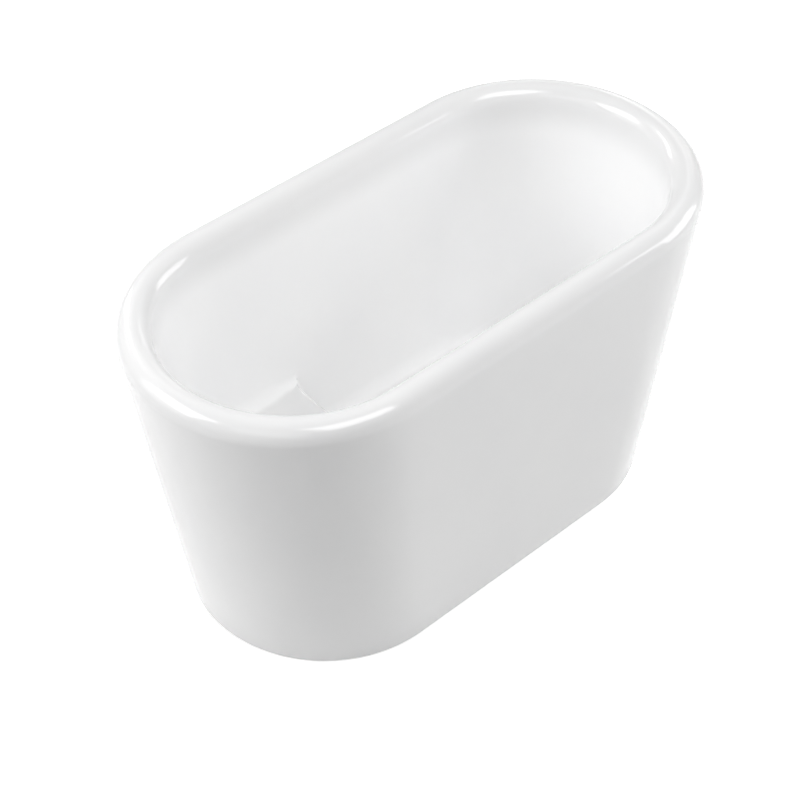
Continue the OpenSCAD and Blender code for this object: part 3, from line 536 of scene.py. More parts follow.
def moulded_material(name, low, high, roughness, grain, strength):
    """Moulded plastic or rubber: faint flow marks in the colour and a fine grain in the bump."""
    mat, tree, shader = node_material(name, high, roughness)
    flow = noise(tree, 60.0, 3.0, (1.0, 1.0, 0.3))
    drive(tree, shader, "Base Color", flow, low, high)
    drive(tree, shader, "Roughness", flow, roughness + 0.06, roughness - 0.04)
    bump(tree, noise(tree, grain), shader, strength, 0.0001)
    return mat


# Two copies of one acrylic with painted light: outside, the white is painted greyer over the rim's top as
# painted shade; inside, it is painted whiter deep in the basin as painted light, with painted shade on its
# level faces.
ACRYLIC_PAINTED_RIM_SHADE = acrylic_material("acrylic_gloss_painted_rim_shade", [(RIM_Z, 0.877), (RIM_Z + 22, 0.825)])
ACRYLIC_INSIDE_PAINTED_LIGHT = acrylic_material("acrylic_inside_painted_light", [(RIM_Z - 70, 0.973), (RIM_Z, 0.877)], painted_level_shade=0.14)
LAMINATE = laminate_material()
CHROME = metal("chrome", (0.74, 0.75, 0.77), (0.80, 0.81, 0.82), (0.05, 0.10), 30.0,
               (900.0, 3.0, 0.05, 0.00003))
STAINLESS = metal("stainless", (0.58, 0.58, 0.57), (0.66, 0.66, 0.65), (0.20, 0.30), 40.0,
                  (300.0, 3.0, 0.25, 0.00003), stretch=(1.0, 12.0, 1.0))
ZINC = metal("zinc_plate", (0.50, 0.53, 0.57), (0.66, 0.68, 0.70), (0.26, 0.42), 120.0,
             (1800.0, 3.0, 0.2, 0.00003))
WELD = metal("weld_bead", (0.20, 0.19, 0.18), (0.42, 0.41, 0.40), (0.35, 0.55), 300.0,
             (600.0, 1.0, 0.3, 0.0004))
GALVANISED = galvanised_material()
CHIPBOARD = chipboard_material()
PLASTIC = moulded_material("grey_pvc", (0.315, 0.325, 0.335), (0.355, 0.365, 0.375), 0.36, 1100.0, 0.12)
PAD = moulded_material("pad_plastic", (0.018, 0.018, 0.019), (0.032, 0.032, 0.034), 0.46, 900.0, 0.35)
RUBBER = moulded_material("rubber", (0.030, 0.030, 0.031), (0.052, 0.052, 0.053), 0.66, 1300.0, 0.3)


# Shapes used by the fittings

def soft(points, radii, steps=4):
    """Closed outline with rounded corners, one radius for each corner."""
    out = []
    for i, radius in enumerate(radii):
        p = np.array(points[i], float)
        if radius <= 0:
            out.append(tuple(p))
            continue
        a = np.array(points[i - 1], float) - p
        b = np.array(points[(i + 1) % len(points)], float) - p
        len_a, len_b = np.hypot(*a), np.hypot(*b)
        a, b = a / len_a, b / len_b
        half = math.acos(max(-1.0, min(1.0, float(a @ b)))) / 2
        t = min(radius / math.tan(half), 0.48 * len_a, 0.48 * len_b)
        out += [tuple(p + a * t * (1 - k / steps) ** 2 + b * t * (k / steps) ** 2) for k in range(steps + 1)]
    return out


def around(count):
    """Angles of points round a circle."""
    return steps_to(360.0, count)[:-1]


def lathe(profile, count=64, change=None):
    """Closed profile of (radius, height) turned about Z; change may move a point by its angle."""
    rings = []
    for angle in around(count):
        ring = [change(angle, r, z) if change else (r, z) for r, z in profile]
        rings.append([(r * cos(angle), r * sin(angle), z) for r, z in ring])
    return loft(rings)


def stacked(rings):
    """Solid through rings from bottom to top, with its ends closed in a point on the axis."""
    first, last = [np.repeat([np.mean(ring, axis=0)], len(ring), axis=0) for ring in (rings[0], rings[-1])]
    return loft([first] + rings + [last], closed=False)


def round_ring(radius, z, count):
    return [(radius * cos(w), radius * sin(w), z) for w in around(count)]


def join(parts):
    points, faces = [], []
    for part_points, part_faces in parts:
        base = len(points)
        points += part_points
        faces += [tuple(i + base for i in face) for face in part_faces]
    return points, faces


def shift(x, y, z):
    return Matrix.Translation(Vector((x, y, z)))


def turn(angle, axis):
    return Matrix.Rotation(math.radians(angle), 4, axis)


def moved(part, matrix):
    points, faces = part
    if matrix.determinant() < 0:
        faces = [tuple(reversed(face)) for face in faces]
    return [tuple(matrix @ Vector(p)) for p in points], faces


def flipped(part, axis):
    return moved(part, Matrix.Scale(-1, 4, Vector(axis)))


def copies(part, places):
    return join([moved(part, shift(*each)) for each in places])


def fitting(name, part, material, node, body="tub", sharp=SHARP_ANGLE):
    """A piece that stands for one CAD node."""
    piece = mesh_piece(name, part[0], part[1], [material], sharp=sharp, body=body)
    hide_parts(node)


def cut_part(part, cutters):
    """A part with other parts cut out of it."""
    base = mesh_piece("cut_base", part[0], part[1], [])
    tool = mesh_piece("cut_tool", *join(cutters), [])
    cut(base, tool)
    points = [tuple(v.co / MM) for v in base.data.vertices]
    faces = [tuple(p.vertices) for p in base.data.polygons]
    bpy.data.objects.remove(base)
    return points, faces


def hexagon_points(flats, per_side=6):
    """Points round a hexagon of a width across its flats."""
    corners = [np.array([cos(w), sin(w)]) * flats / math.sqrt(3) for w in steps_to(360, 6)]
    points = []
    for a, b in zip(corners, corners[1:]):
        points += [a + (b - a) * i / per_side for i in range(per_side)]
    return points


# Where a nut's corners start to be turned off, as a share of half its flats, and how steeply
TURN_START, TURN_SLOPE = 0.98, 0.55


def hexagon_ring(flats, z, slope=0.0):
    """Ring of a hexagon whose corners leave its plane, the farther out the more."""
    limit = flats / 2 * TURN_START
    return [(p[0], p[1], z + slope * max(0.0, math.hypot(*p) - limit)) for p in hexagon_points(flats)]


def circle_ring(flats, radius, z):
    """Circle with its points in line with those of hexagon_ring."""
    return [(radius * p[0] / math.hypot(*p), radius * p[1] / math.hypot(*p), z)
            for p in hexagon_points(flats)]


def turned_hexagon(flats, height):
    """Rings of a hexagon standing on z = 0, its corners turned off at both ends."""
    flat_radius = flats / 2 * TURN_START
    return [circle_ring(flats, flat_radius, 0), hexagon_ring(flats, 0, TURN_SLOPE),
            hexagon_ring(flats, height, -TURN_SLOPE), circle_ring(flats, flat_radius, height)]


def nut(flats, bore, height):
    """Hexagonal nut standing on z = 0, its bore countersunk."""
    sink = 0.5
    below = [circle_ring(flats, bore, sink), circle_ring(flats, bore + sink, 0)]
    above = [circle_ring(flats, bore + sink, height), circle_ring(flats, bore, height - sink)]
    return loft(below + turned_hexagon(flats, height) + above)


def hexagon_head(flats, height):
    """Solid hexagon standing on z = 0, its upper corners turned off."""
    return stacked([hexagon_ring(flats, 0)] + turned_hexagon(flats, height)[2:]
                   + [circle_ring(flats, flats / 2 * 0.6, height)])


def thread(radius, depth, pitch, z0, z1, count=28, bore=None):
    """Threaded rod from z0 to z1 with chamfered ends; with a bore it is a tube.

    A turn has a flat crest, sloping sides and a flat root, and fades out over one pitch at both ends.
    """
    rings = []
    steps = max(2, int(round((z1 - z0) / pitch * 6)))
    for i in range(steps + 1):
        z = z0 + (z1 - z0) * i / steps
        fade = min(1.0, (z - z0) / pitch, (z1 - z) / pitch)
        chamfer = 0.6 * depth * (1 - fade)
        ring = []
        for k, w in enumerate(around(count)):
            wave = (z / pitch - k / count) % 1.0
            groove = depth * min(1.0, max(0.0, 1.6 * abs(2 * wave - 1) - 0.3)) * fade
            r = radius - groove - chamfer
            ring.append((r * cos(w), r * sin(w), z))
        rings.append(ring)
    if bore is None:
        return stacked(rings)
    return loft([round_ring(bore, z0, count)] + rings + [round_ring(bore, z1, count)])


def prism(outline, length):
    """Solid of a closed outline (x, z) drawn along Y, centred on y = 0."""
    n = len(outline)
    points = [(p[0], -length / 2, p[1]) for p in outline] + [(p[0], length / 2, p[1]) for p in outline]
    faces = [tuple(range(n)), tuple(range(2 * n - 1, n - 1, -1))]
    faces += [(i, i + n, (i + 1) % n + n, (i + 1) % n) for i in range(n)]
    return points, faces


def rod(radius, z0, z1, count=32):
    return stacked([round_ring(radius, z0, count), round_ring(radius, z1, count)])


def hole(radius, low, high, x, y, count=32):
    """Cutter for a hole through a sheet from low to high, a little longer than the sheet is thick."""
    return moved(rod(radius, low - 1, high + 1, count), shift(x, y, 0))


def bead(path, radius, scale_length=2.2, count=8):
    """Weld along a closed path on z = 0, in small overlapping scales that aren't quite even."""
    up = np.array([0, 0, 1.0])
    pts = [np.array([p[0], p[1], 0.0]) for p in path]
    lengths = [np.linalg.norm(b - a) for a, b in zip(pts, pts[1:] + pts[:1])]
    total = sum(lengths)
    steps = int(total / scale_length) * 4
    rings = []
    for s in range(steps):
        along = total * s / steps
        i = 0
        while along > lengths[i]:
            along -= lengths[i]
            i += 1
        a, b = pts[i], pts[(i + 1) % len(pts)]
        here = a + (b - a) * along / lengths[i]
        out = np.cross((b - a) / lengths[i], up)
        r = radius * (0.82 + 0.18 * abs(math.sin(math.pi * s / 4)) + 0.05 * math.sin(s * 1.7))
        rings.append([here + r * (cos(w) * out + sin(w) * up) for w in around(count)])
    return loft(rings)


# Levels and sites of the fittings, as in the CAD source
SIDES = (-1, 1)
CORNERS = [(i, j) for i in SIDES for j in SIDES]
BOARD, SHEET, PLATE = 12.0, 2.0, 3.0
CHANNEL_LENGTH, CHANNEL_HEIGHT, CHANNEL_WEB, CHANNEL_WIDTH = 420.0, 22.0, 30.0, 58.0
BOARD_Z = FLOOR_Z - SHELL_WALL - BOARD
WEB_Z = BOARD_Z - CHANNEL_HEIGHT
SEAT_BOARD_Z = SEAT_Z - SHELL_WALL - BOARD
REAR_X, FRONT_X, CENTRE_X = -330.0, 330.0, -60.0
FOOT_SPREAD, POST_SPREAD, POST = 300.0, 190.0, 25.0
STUD_R, THREAD_PLAY, STUD_TOP, CENTRE_STUD_TOP = 6.0, 0.05, 66.0, 78.0
PAD_R, PAD_H, SOCKET_Z, SOCKET_GAP, COLLAR_FLATS = 25.0, 14.0, 4.0, 0.3, 17.0
WELD_NUT, LOCK_NUT, BOLT_FLATS = 10.0, 6.0, 10.0
BOLT_R, SKIRT_SCREW_R, WOOD_SCREW_R, SCREW_BITE = 3.0, 2.5, 2.1, 8.0
STUD_HOLE, BOLT_HOLE, STRAP_HOLE, SKIRT_HOLE = 6.5, 3.2, 2.7, 2.55
STRAP_WIDTH, STRAP_LAP, STRAP_TOE = 25.0, 26.0, 6.0

FEET = [(x, side * FOOT_SPREAD / 2, WEB_Z) for x in (REAR_X, FRONT_X) for side in SIDES]
FEET += [(CENTRE_X, 0.0, BOARD_Z - PLATE - WELD_NUT)]
# Places of screws and bolts from the middle of what they hold
FLANGE_OFFSET, CHANNEL_SCREW_Y, CENTRE_SCREW, SEAT_SCREW = 22.0, 60.0, 35.0, 26.0
BASE_SCREWS = [(FRONT_X + i * FLANGE_OFFSET, j * CHANNEL_SCREW_Y, SHEET) for i, j in CORNERS]
BASE_SCREWS += [(CENTRE_X + i * CENTRE_SCREW, j * CENTRE_SCREW, PLATE) for i, j in CORNERS]
SEAT_SCREWS = [(REAR_X + i * SEAT_SCREW, side * POST_SPREAD / 2 + j * SEAT_SCREW)
               for side in SIDES for i, j in CORNERS]
POST_BOLTS = [(REAR_X + i * FLANGE_OFFSET, side * POST_SPREAD / 2) for side in SIDES for i in SIDES]
BRACKETS = [(x, side) for x in (REAR_X, FRONT_X) for side in SIDES]
BRACKET_BOLT_Y = (CHANNEL_LENGTH - STRAP_LAP) / 2


def skirt_side(x, z):
    r = skirt_xy(Column(0, 0.0), z, 0)[1]
    a = skirt_xy(Column(1, 90.0), z, 0)[0]
    return math.sqrt(r * r - max(0.0, abs(x) - a) ** 2)


def flange_inner_y(x):
    return skirt_side(x, SKIRT_GAP) - SKIRT_WALL - FLANGE_WIDTH


def skirt_screw_y(x):
    return flange_inner_y(x) + FLANGE_WIDTH / 2


def overflow_frame(unit=1.0):
    """Frame on the overflow's axis at the basin's wall, Z outwards; unit is the length of a millimetre."""
    middle = Vector((DRAIN_X, -basin_side(OVERFLOW_Z), OVERFLOW_Z))
    return Matrix.Translation(middle * unit) @ turn(inner_lean(90) - 90, "X")


# Shells

def make_basin():
    """Basin with its rolled rim, in rings from the drain hole up, over the rim and back under the floor."""
    edge, low_fillet, bevel, bevel_drop = 0.8, 1.4, 2.0, 0.992
    recess_z = FLOOR_Z - RECESS_DEPTH
    recess_floor = RECESS_RADIUS - 2.2
    under = FLOOR_Z - SHELL_WALL
    rings = [drain_ring(DRAIN_HOLE, under), drain_ring(DRAIN_HOLE, recess_z - edge)]
    for w in steps_to(90, 4)[1:]:
        rings.append(drain_ring(DRAIN_HOLE + edge * (1 - cos(w)), recess_z - edge + edge * sin(w)))
    rings += [drain_ring(r, recess_z) for r in (28, 34, recess_floor)]
    for w in steps_to(70, 4)[1:]:
        rings.append(drain_ring(recess_floor + low_fillet * sin(w), recess_z + low_fillet * (1 - cos(w))))
    for w in reversed(steps_to(70, 4)):
        rings.append(drain_ring(RECESS_RADIUS + 1.2 - bevel * sin(w), FLOOR_Z - bevel_drop * (1 - cos(w))))
    rings += [drain_ring(r, FLOOR_Z) for r in (44, 56, 68, 2 * RECESS_RADIUS)]
    upper = basin_rings(0, FLOOR_FALL)
    rings += between(rings[-1], upper[0], 14, 0.01)
    rings += upper
    roll_start = len(rings)
    rings += list(reversed(roll_rings(36, RIM_RADIUS)))
    lip = skirt_ring(SEAM_Z, 0)
    rings += between(rings[-1], lip, 2, 0.06) + [lip, skirt_ring(SEAM_Z, SHELL_WALL)]
    back_start = len(rings) - 1
    rings += roll_rings(12, RIM_RADIUS - SHELL_WALL)
    rings += list(reversed(basin_rings(SHELL_WALL, 0, wall=8, fillet=6, seat=4)))
    rings += [drain_ring(2 * RECESS_RADIUS, under), drain_ring(50, under)]
    by_ring = [2 if k < roll_start else 0 if k < back_start else 1 for k in range(len(rings))]
    slots = [slot for slot in by_ring for _ in rings[0]]
    piece = mesh_piece("basin", *loft(rings), [ACRYLIC_PAINTED_RIM_SHADE, LAMINATE, ACRYLIC_INSIDE_PAINTED_LIGHT], slots)
    bpy.ops.mesh.primitive_cylinder_add(vertices=96, radius=OVERFLOW_HOLE * MM, depth=6 * SHELL_WALL * MM)
    cutter = bpy.context.object
    cutter.matrix_world = overflow_frame(MM)
    cut(piece, cutter)
    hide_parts("inner_shell")


def make_skirt():
    """Skirt, in rings from its seam down its outside, round the flange and up its inside to the tongue."""
    tongue, flange_end = SHELL_WALL + LIP_CLEARANCE, SKIRT_WALL + FLANGE_WIDTH
    edge, fillet = 2.5, 4.0
    outside = [(SEAM_Z, 0.0)]
    outside += [(z, 0.0) for z in np.linspace(SEAM_Z - 1, SKIRT_GAP + edge + 4, 12)]
    outside += [(SKIRT_GAP + edge * (1 - sin(w)), edge * (1 - cos(w))) for w in steps_to(90, 6)]
    outside += [(SKIRT_GAP, 12.0)]
    inside = [(SKIRT_GAP, flange_end), (SKIRT_FLANGE_Z, flange_end), (SKIRT_FLANGE_Z, SKIRT_WALL + fillet)]
    inside += [(SKIRT_FLANGE_Z + fillet * (1 - cos(w)), SKIRT_WALL + fillet * (1 - sin(w)))
               for w in steps_to(90, 5)[1:]]
    inside += [(z, SKIRT_WALL) for z in np.linspace(30, SEAM_Z - 12, 6)]
    inside += [(SEAM_Z - 6, tongue + SKIRT_WALL), (SEAM_Z + TONGUE_HEIGHT, tongue + SKIRT_WALL),
               (SEAM_Z + TONGUE_HEIGHT, tongue), (SEAM_Z, tongue)]
    rings = [skirt_ring(z, inset) for z, inset in outside + inside]
    slots = [slot for slot, part in enumerate((outside, inside)) for _ in range(len(part) * len(rings[0]))]
    piece = mesh_piece("skirt", *loft(rings), [ACRYLIC_PAINTED_RIM_SHADE, LAMINATE], slots)
    drill = rod(SKIRT_HOLE, SKIRT_GAP - 2, SKIRT_FLANGE_Z + 2, 24)
    tool = copies(drill, [(x, side * skirt_screw_y(x), 0) for x, side in BRACKETS])
    cut(piece, mesh_piece("skirt_holes", *tool, []))
    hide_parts("outer_skirt")


# Legs, brackets and fasteners

def make_channel(name, x, flange_holes):
    """Hat-shaped channel across the tub, with holes for feet, straps and what its brim is fixed to."""
    web, brim, top, low = CHANNEL_WEB / 2, CHANNEL_WIDTH / 2, CHANNEL_HEIGHT, CHANNEL_HEIGHT - SHEET
    outline = soft([(-brim, top), (-brim, low), (-web, low), (-web, 0), (web, 0), (web, low), (brim, low),
                    (brim, top), (web - SHEET, top), (web - SHEET, SHEET), (SHEET - web, SHEET),
                    (SHEET - web, top)], [0.3, 0.3, 1, 3, 3, 1, 0.3, 0.3, 3, 1, 1, 3])
    holes = [hole(STUD_HOLE, 0, SHEET, 0, side * FOOT_SPREAD / 2, 40) for side in SIDES]
    holes += [hole(BOLT_HOLE, 0, SHEET, 0, side * BRACKET_BOLT_Y) for side in SIDES]
    holes += [hole(BOLT_HOLE, low, top, hx - x, hy) for hx, hy in flange_holes]
    part = cut_part(prism(outline, CHANNEL_LENGTH), holes)
    fitting("pressed_" + name, moved(part, shift(x, 0, WEB_Z)), GALVANISED, name, sharp=28)


def make_brackets():
    """Z-shaped straps from under the channels' ends down to the skirt's flange."""
    parts = []
    for x, side in BRACKETS:
        start, knee = CHANNEL_LENGTH / 2 - STRAP_LAP, flange_inner_y(x) + PLATE
        toe, low, high = skirt_screw_y(x) + STRAP_TOE, SKIRT_FLANGE_Z, WEB_Z - PLATE
        outline = soft([(start, WEB_Z), (knee, WEB_Z), (knee, low + PLATE), (toe, low + PLATE), (toe, low),
                        (knee - PLATE, low), (knee - PLATE, high), (start, high)],
                       [0.4, 4.5, 1.5, 0.4, 0.4, 4.5, 1.5, 0.4])
        part = moved(prism(outline, STRAP_WIDTH), turn(90, "Z"))
        part = cut_part(part, [hole(BOLT_HOLE, high, WEB_Z, 0, BRACKET_BOLT_Y),
                               hole(STRAP_HOLE, low, low + PLATE, 0, skirt_screw_y(x))])
        if side < 0:
            part = flipped(part, (0, 1, 0))
        parts.append(moved(part, shift(x, 0, 0)))
    fitting("skirt_straps", join(parts), GALVANISED, "skirt_brackets", sharp=28)


def screw_part(radius, depth):
    """Pan-head screw driven upwards, with a cross recess: the head's bearing face is at z = 0.

    The sizes of its head, recess and thread are shares of its radius.
    """
    head, height, slot = 2 * radius, radius, 0.42 * radius
    dome = [(head * cos(w), -height * (0.25 + 0.75 * sin(w))) for w in steps_to(90, 8)[:-1]]
    head_part = lathe([(0.0, 0.0), (head - 0.3, 0.0), (head, -0.12 * height)] + dome + [(0.0, -height)], 40)
    recess = [(-1.15 * radius, -height - 1), (1.15 * radius, -height - 1),
              (0.55 * radius, -0.35 * height), (-0.55 * radius, -0.35 * height)]
    head_part = cut_part(head_part, [moved(prism(recess, slot), turn(angle, "Z")) for angle in (0, 90)])
    return join([head_part, thread(radius, 0.28 * radius, 0.75 * radius, 0.0, depth, 16)])


def bolt_part(radius, stack):
    """Hexagon bolt up through a stack of plates: head below, nut above."""
    head, nut_height = 1.3 * radius, 1.6 * radius
    return join([flipped(hexagon_head(BOLT_FLATS, head), (0, 0, 1)),
                 thread(radius, 0.3, 1.0, 0.0, stack + nut_height + 1, 24),
                 moved(nut(BOLT_FLATS, radius + THREAD_PLAY, nut_height), shift(0, 0, stack))])


def make_fasteners():
    short, long = [screw_part(WOOD_SCREW_R, held + SCREW_BITE) for held in (SHEET, PLATE)]
    wood = [moved(short if held == SHEET else long, shift(x, y, BOARD_Z - held))
            for x, y, held in BASE_SCREWS]
    wood += [moved(long, shift(x, y, SEAT_BOARD_Z - PLATE)) for x, y in SEAT_SCREWS]
    fitting("wood_screws", join(wood), ZINC, "board_screws")
    bolt = bolt_part(BOLT_R, SHEET + PLATE)
    posts = copies(bolt, [(x, y, BOARD_Z - SHEET) for x, y in POST_BOLTS])
    fitting("post_bolt_set", posts, ZINC, "post_bolts")
    straps = copies(bolt, [(x, side * BRACKET_BOLT_Y, WEB_Z - PLATE) for x, side in BRACKETS])
    fitting("strap_bolt_set", straps, ZINC, "bracket_bolts")
    screw = flipped(screw_part(SKIRT_SCREW_R, PLATE + SKIRT_WALL), (0, 0, 1))
    flange = copies(screw, [(x, side * skirt_screw_y(x), SKIRT_FLANGE_Z + PLATE) for x, side in BRACKETS])
    fitting("flange_screw_set", flange, ZINC, "skirt_screws")


def make_nuts():
    """A welded nut and a lock nut for each foot, and the welds of the nuts and of the seat's posts."""
    flats, bore = 3.2 * STUD_R, STUD_R + THREAD_PLAY
    upper, lower, beads = [], [], []
    for x, y, z in FEET:
        base = z if x == CENTRE_X else z + SHEET
        upper.append(moved(nut(flats, bore, WELD_NUT), shift(x, y, base)))
        lower.append(moved(nut(flats, bore, LOCK_NUT), shift(x, y, z - LOCK_NUT)))
        bead_z = BOARD_Z - PLATE if x == CENTRE_X else base
        beads.append(moved(bead(hexagon_points(flats + 1, 3), 1.5), shift(x, y, bead_z)))
    fitting("welded_nuts", join(upper), ZINC, "weld_nuts", sharp=28)
    fitting("locking_nuts", join(lower), ZINC, "lock_nuts", sharp=28)
    half = POST / 2
    around_post = bead(soft([(-half, -half), (half, -half), (half, half), (-half, half)], [1.5] * 4), 2.0)
    for side in SIDES:
        for z in (BOARD_Z + PLATE, SEAT_BOARD_Z - PLATE):
            beads.append(moved(around_post, shift(REAR_X, side * POST_SPREAD / 2, z)))
    welds = mesh_piece("welds", *join(beads), [WELD], sharp=60)


def make_foot(number, x, y):
    """Pad with ribs above and grooves below, and its stud with a hexagonal collar."""
    bore, collar, groove = STUD_R + THREAD_PLAY, STUD_R + 5, 0.8
    profile = soft([(PAD_R - 2, 0), (PAD_R, 2), (PAD_R, 4), (collar + 2, PAD_H - 6), (collar, PAD_H - 4),
                    (collar, PAD_H), (bore, PAD_H), (bore, SOCKET_Z)], [1, 1.2, 1.2, 3, 1.5, 0.6, 0.5, 0])
    here = shift(x, y, 0)
    grooves = []
    for r in range(5, 21, 3):
        grooves += [(r, 0.0), (r + 0.3, groove), (r + 1.7, groove), (r + 2.0, 0.0)]
    pad = lathe([(0.0, SOCKET_Z), (0.0, 0.0)] + grooves + profile, 72)
    rib = prism([(collar - 0.5, PAD_H - 9), (PAD_R - 1.5, 2.5), (PAD_R - 1.2, 5.0),
                 (collar - 0.5, PAD_H - 2.5)], 1.6)
    pad = join([pad] + [moved(rib, turn(30 * k, "Z")) for k in range(12)])
    fitting("levelling_pad_%d" % number, moved(pad, here), PAD, "foot_pad_%d" % number,
            body="foot_%d" % number)
    top = CENTRE_STUD_TOP if x == CENTRE_X else STUD_TOP
    key = moved(stacked(turned_hexagon(COLLAR_FLATS, STUD_R)), shift(0, 0, PAD_H + SOCKET_GAP))
    stud = join([thread(STUD_R, 0.9, 1.75, SOCKET_Z + SOCKET_GAP, top), key])
    fitting("levelling_stud_%d" % number, moved(stud, here), ZINC, "foot_stud_%d" % number,
            body="stud_%d" % number)


# Waste, plug and overflow

DRAIN = shift(DRAIN_X, 0, 0)
FLANGE_BASE_Z = FLOOR_Z - RECESS_DEPTH + 1
FLANGE_TOP_Z = FLANGE_BASE_Z + 2.2
NECK_Z = FLOOR_Z - SHELL_WALL - 20
HUB_Z, HUB_TOP, HUB_R, HUB_BORE = NECK_Z + 2, NECK_Z + 7, 8.0, 5.0
SPOKE_WIDTH, SPOKE_LENGTH, SPOKE_MIDDLE = 3.0, 14.6, 14.3
WASTE_R, THROAT_R, NECK_R, PLUG_R = 35.0, 20.5, 24.0, 31.0
CONE_WIDTH, CONE_HEIGHT, CONE_EDGE = 6.5, 4.6, 0.6
CONE_TOP_Z = FLANGE_TOP_Z - CONE_EDGE
CONE_Z = CONE_TOP_Z - CONE_HEIGHT
CAP_Z, CAP_H, SEAL_H = FLANGE_TOP_Z + 1, 5.0, 3.4


def make_waste():
    """The waste's flange with its neck, and the hub on four spokes that holds the plug's cartridge."""
    cone = THROAT_R + CONE_WIDTH
    profile = soft([(NECK_R, NECK_Z), (NECK_R, FLANGE_BASE_Z), (WASTE_R, FLANGE_BASE_Z),
                    (WASTE_R, CONE_TOP_Z), (WASTE_R - 2.0, FLANGE_TOP_Z), (cone + 1, FLANGE_TOP_Z),
                    (cone, CONE_TOP_Z), (THROAT_R, CONE_Z), (THROAT_R, NECK_Z)],
                   [0.4, 0.3, 0.3, 0.6, 1.2, 0.8, 0.8, 1.0, 0.4], 6)
    hub = lathe(soft([(HUB_BORE, HUB_Z), (HUB_R, HUB_Z), (HUB_R, HUB_TOP), (HUB_BORE, HUB_TOP)],
                     [0.3, 0.8, 0.8, 0.3]), 48)
    half = SPOKE_WIDTH / 2
    bar = prism(soft([(-half, HUB_Z), (half, HUB_Z), (half, HUB_TOP), (-half, HUB_TOP)], [0.6] * 4, 3),
                SPOKE_LENGTH)
    spokes = [moved(bar, turn(90 * k, "Z") @ shift(0, SPOKE_MIDDLE, 0)) for k in range(4)]
    ring = join([lathe(profile, 128), hub] + spokes)
    fitting("waste_ring", moved(ring, DRAIN), CHROME, "waste_flange")


def make_plug():
    """The plug's domed cap and the seal under it, which closes on the waste's cone."""
    dome = [(PLUG_R - 0.3) * (1 - k / 20) for k in range(1, 20)]
    dome = [(r, CAP_H - r ** 2 * CAP_H / (2 * PLUG_R ** 2)) for r in dome]
    cap = lathe([(0.0, 0.0)] + soft([(PLUG_R - 1.2, 0.0), (PLUG_R, 1.2), (PLUG_R, 2.4)], [0.4, 0.6, 0.5])
                + dome + [(0.0, CAP_H)], 128)
    cap = moved(cap, DRAIN @ shift(0, 0, CAP_Z))
    fitting("plug_dome", cap, CHROME, "plug_cap", body="plug")
    outer = THROAT_R + (CAP_Z - SEAL_H - CONE_Z) * CONE_WIDTH / CONE_HEIGHT - 0.15
    inner = outer - 8
    profile = soft([(outer, 0.0), (outer, SEAL_H), (inner, SEAL_H), (inner, 0.0)], [1.2, 0.5, 0.5, 0.5])
    seal = moved(lathe(profile, 96), DRAIN @ shift(0, 0, CAP_Z - SEAL_H))
    fitting("plug_ring", seal, RUBBER, "plug_seal", body="plug")


def make_overflow():
    """Round cover of the overflow, with a slot at its lower edge for the water."""
    r, depth, wall = 34.0, 12.0, 2.5
    back = depth - wall
    profile = soft([(r - wall, 0.5), (r, 0.5), (r, depth), (0, depth), (0, back), (r - wall, back)],
                   [0.4, 0.5, 3.0, 0, 0, 1.0], 8)
    slot = soft([(-r / 2, 3.5), (r / 2, 3.5), (r / 2, back), (-r / 2, back)], [1.5] * 4)
    cover = cut_part(lathe(profile, 128), [moved(prism(slot, r), shift(0, r, 0))])
    fitting("overflow_cap", moved(cover, overflow_frame()), CHROME, "overflow_cover")


def make_pipe_nuts():
    """Ribbed union nuts of the overflow pipe, one at the waste's inlet and one at the overflow's elbow."""
    bore, shoulder, outer, height, overlap, edge, rib = 16.2, 19.2, 23.1, 22.0, 14.0, 0.4, 0.9
    inlet_y, inlet_z, elbow_y, elbow_z = -58.0, 46.0, 52.0, -32.0

    def ribs(angle, r, z):
        if r < outer - 1.1 or not 2.5 < z < height - 2.5:
            return r, z
        return (r - rib, z) if 0.25 < (angle / 15.0) % 1.0 < 0.75 else (r, z)

    profile = [(shoulder, edge), (shoulder + edge, 0.0), (outer - 0.6, 0.0)]
    profile += [(outer, z) for z in (0.6, 2.4, 3.2, 10.0, 19.0, 19.6, height - 1)]
    profile += [(outer - 1, height), (bore + edge, height), (bore, height - edge), (bore, 18.0),
                (shoulder, 18.0)]
    part = moved(lathe(profile, 144, ribs), shift(0, 0, -overlap))
    at_waste = DRAIN @ shift(0, inlet_y, inlet_z) @ turn(90, "X")
    at_top = overflow_frame() @ shift(0, elbow_y, elbow_z) @ turn(-90, "X")
    fitting("union_nuts", join([moved(part, at_waste), moved(part, at_top)]), PLASTIC, "pipe_nuts",
            sharp=30)


def make_outlet_thread():
    part = thread(radius=24.7, depth=0.8, pitch=2.3, z0=5.5, z1=25.0, count=64, bore=23.6)
    piece = mesh_piece("outlet_thread", *moved(part, DRAIN), [PLASTIC], sharp=40)


make_basin()
make_skirt()
make_channel("rear_leg_channel", REAR_X, POST_BOLTS)
make_channel("front_leg_channel", FRONT_X, [(x, y) for x, y, held in BASE_SCREWS if held == SHEET])
make_brackets()
make_fasteners()
make_nuts()
for foot_number, (foot_x, foot_y, _) in enumerate(FEET, 1):
    make_foot(foot_number, foot_x, foot_y)
make_waste()
make_plug()
make_overflow()
make_pipe_nuts()
make_outlet_thread()

# CAD nodes that stay: each gets its material, and its edges are rounded where a width is given

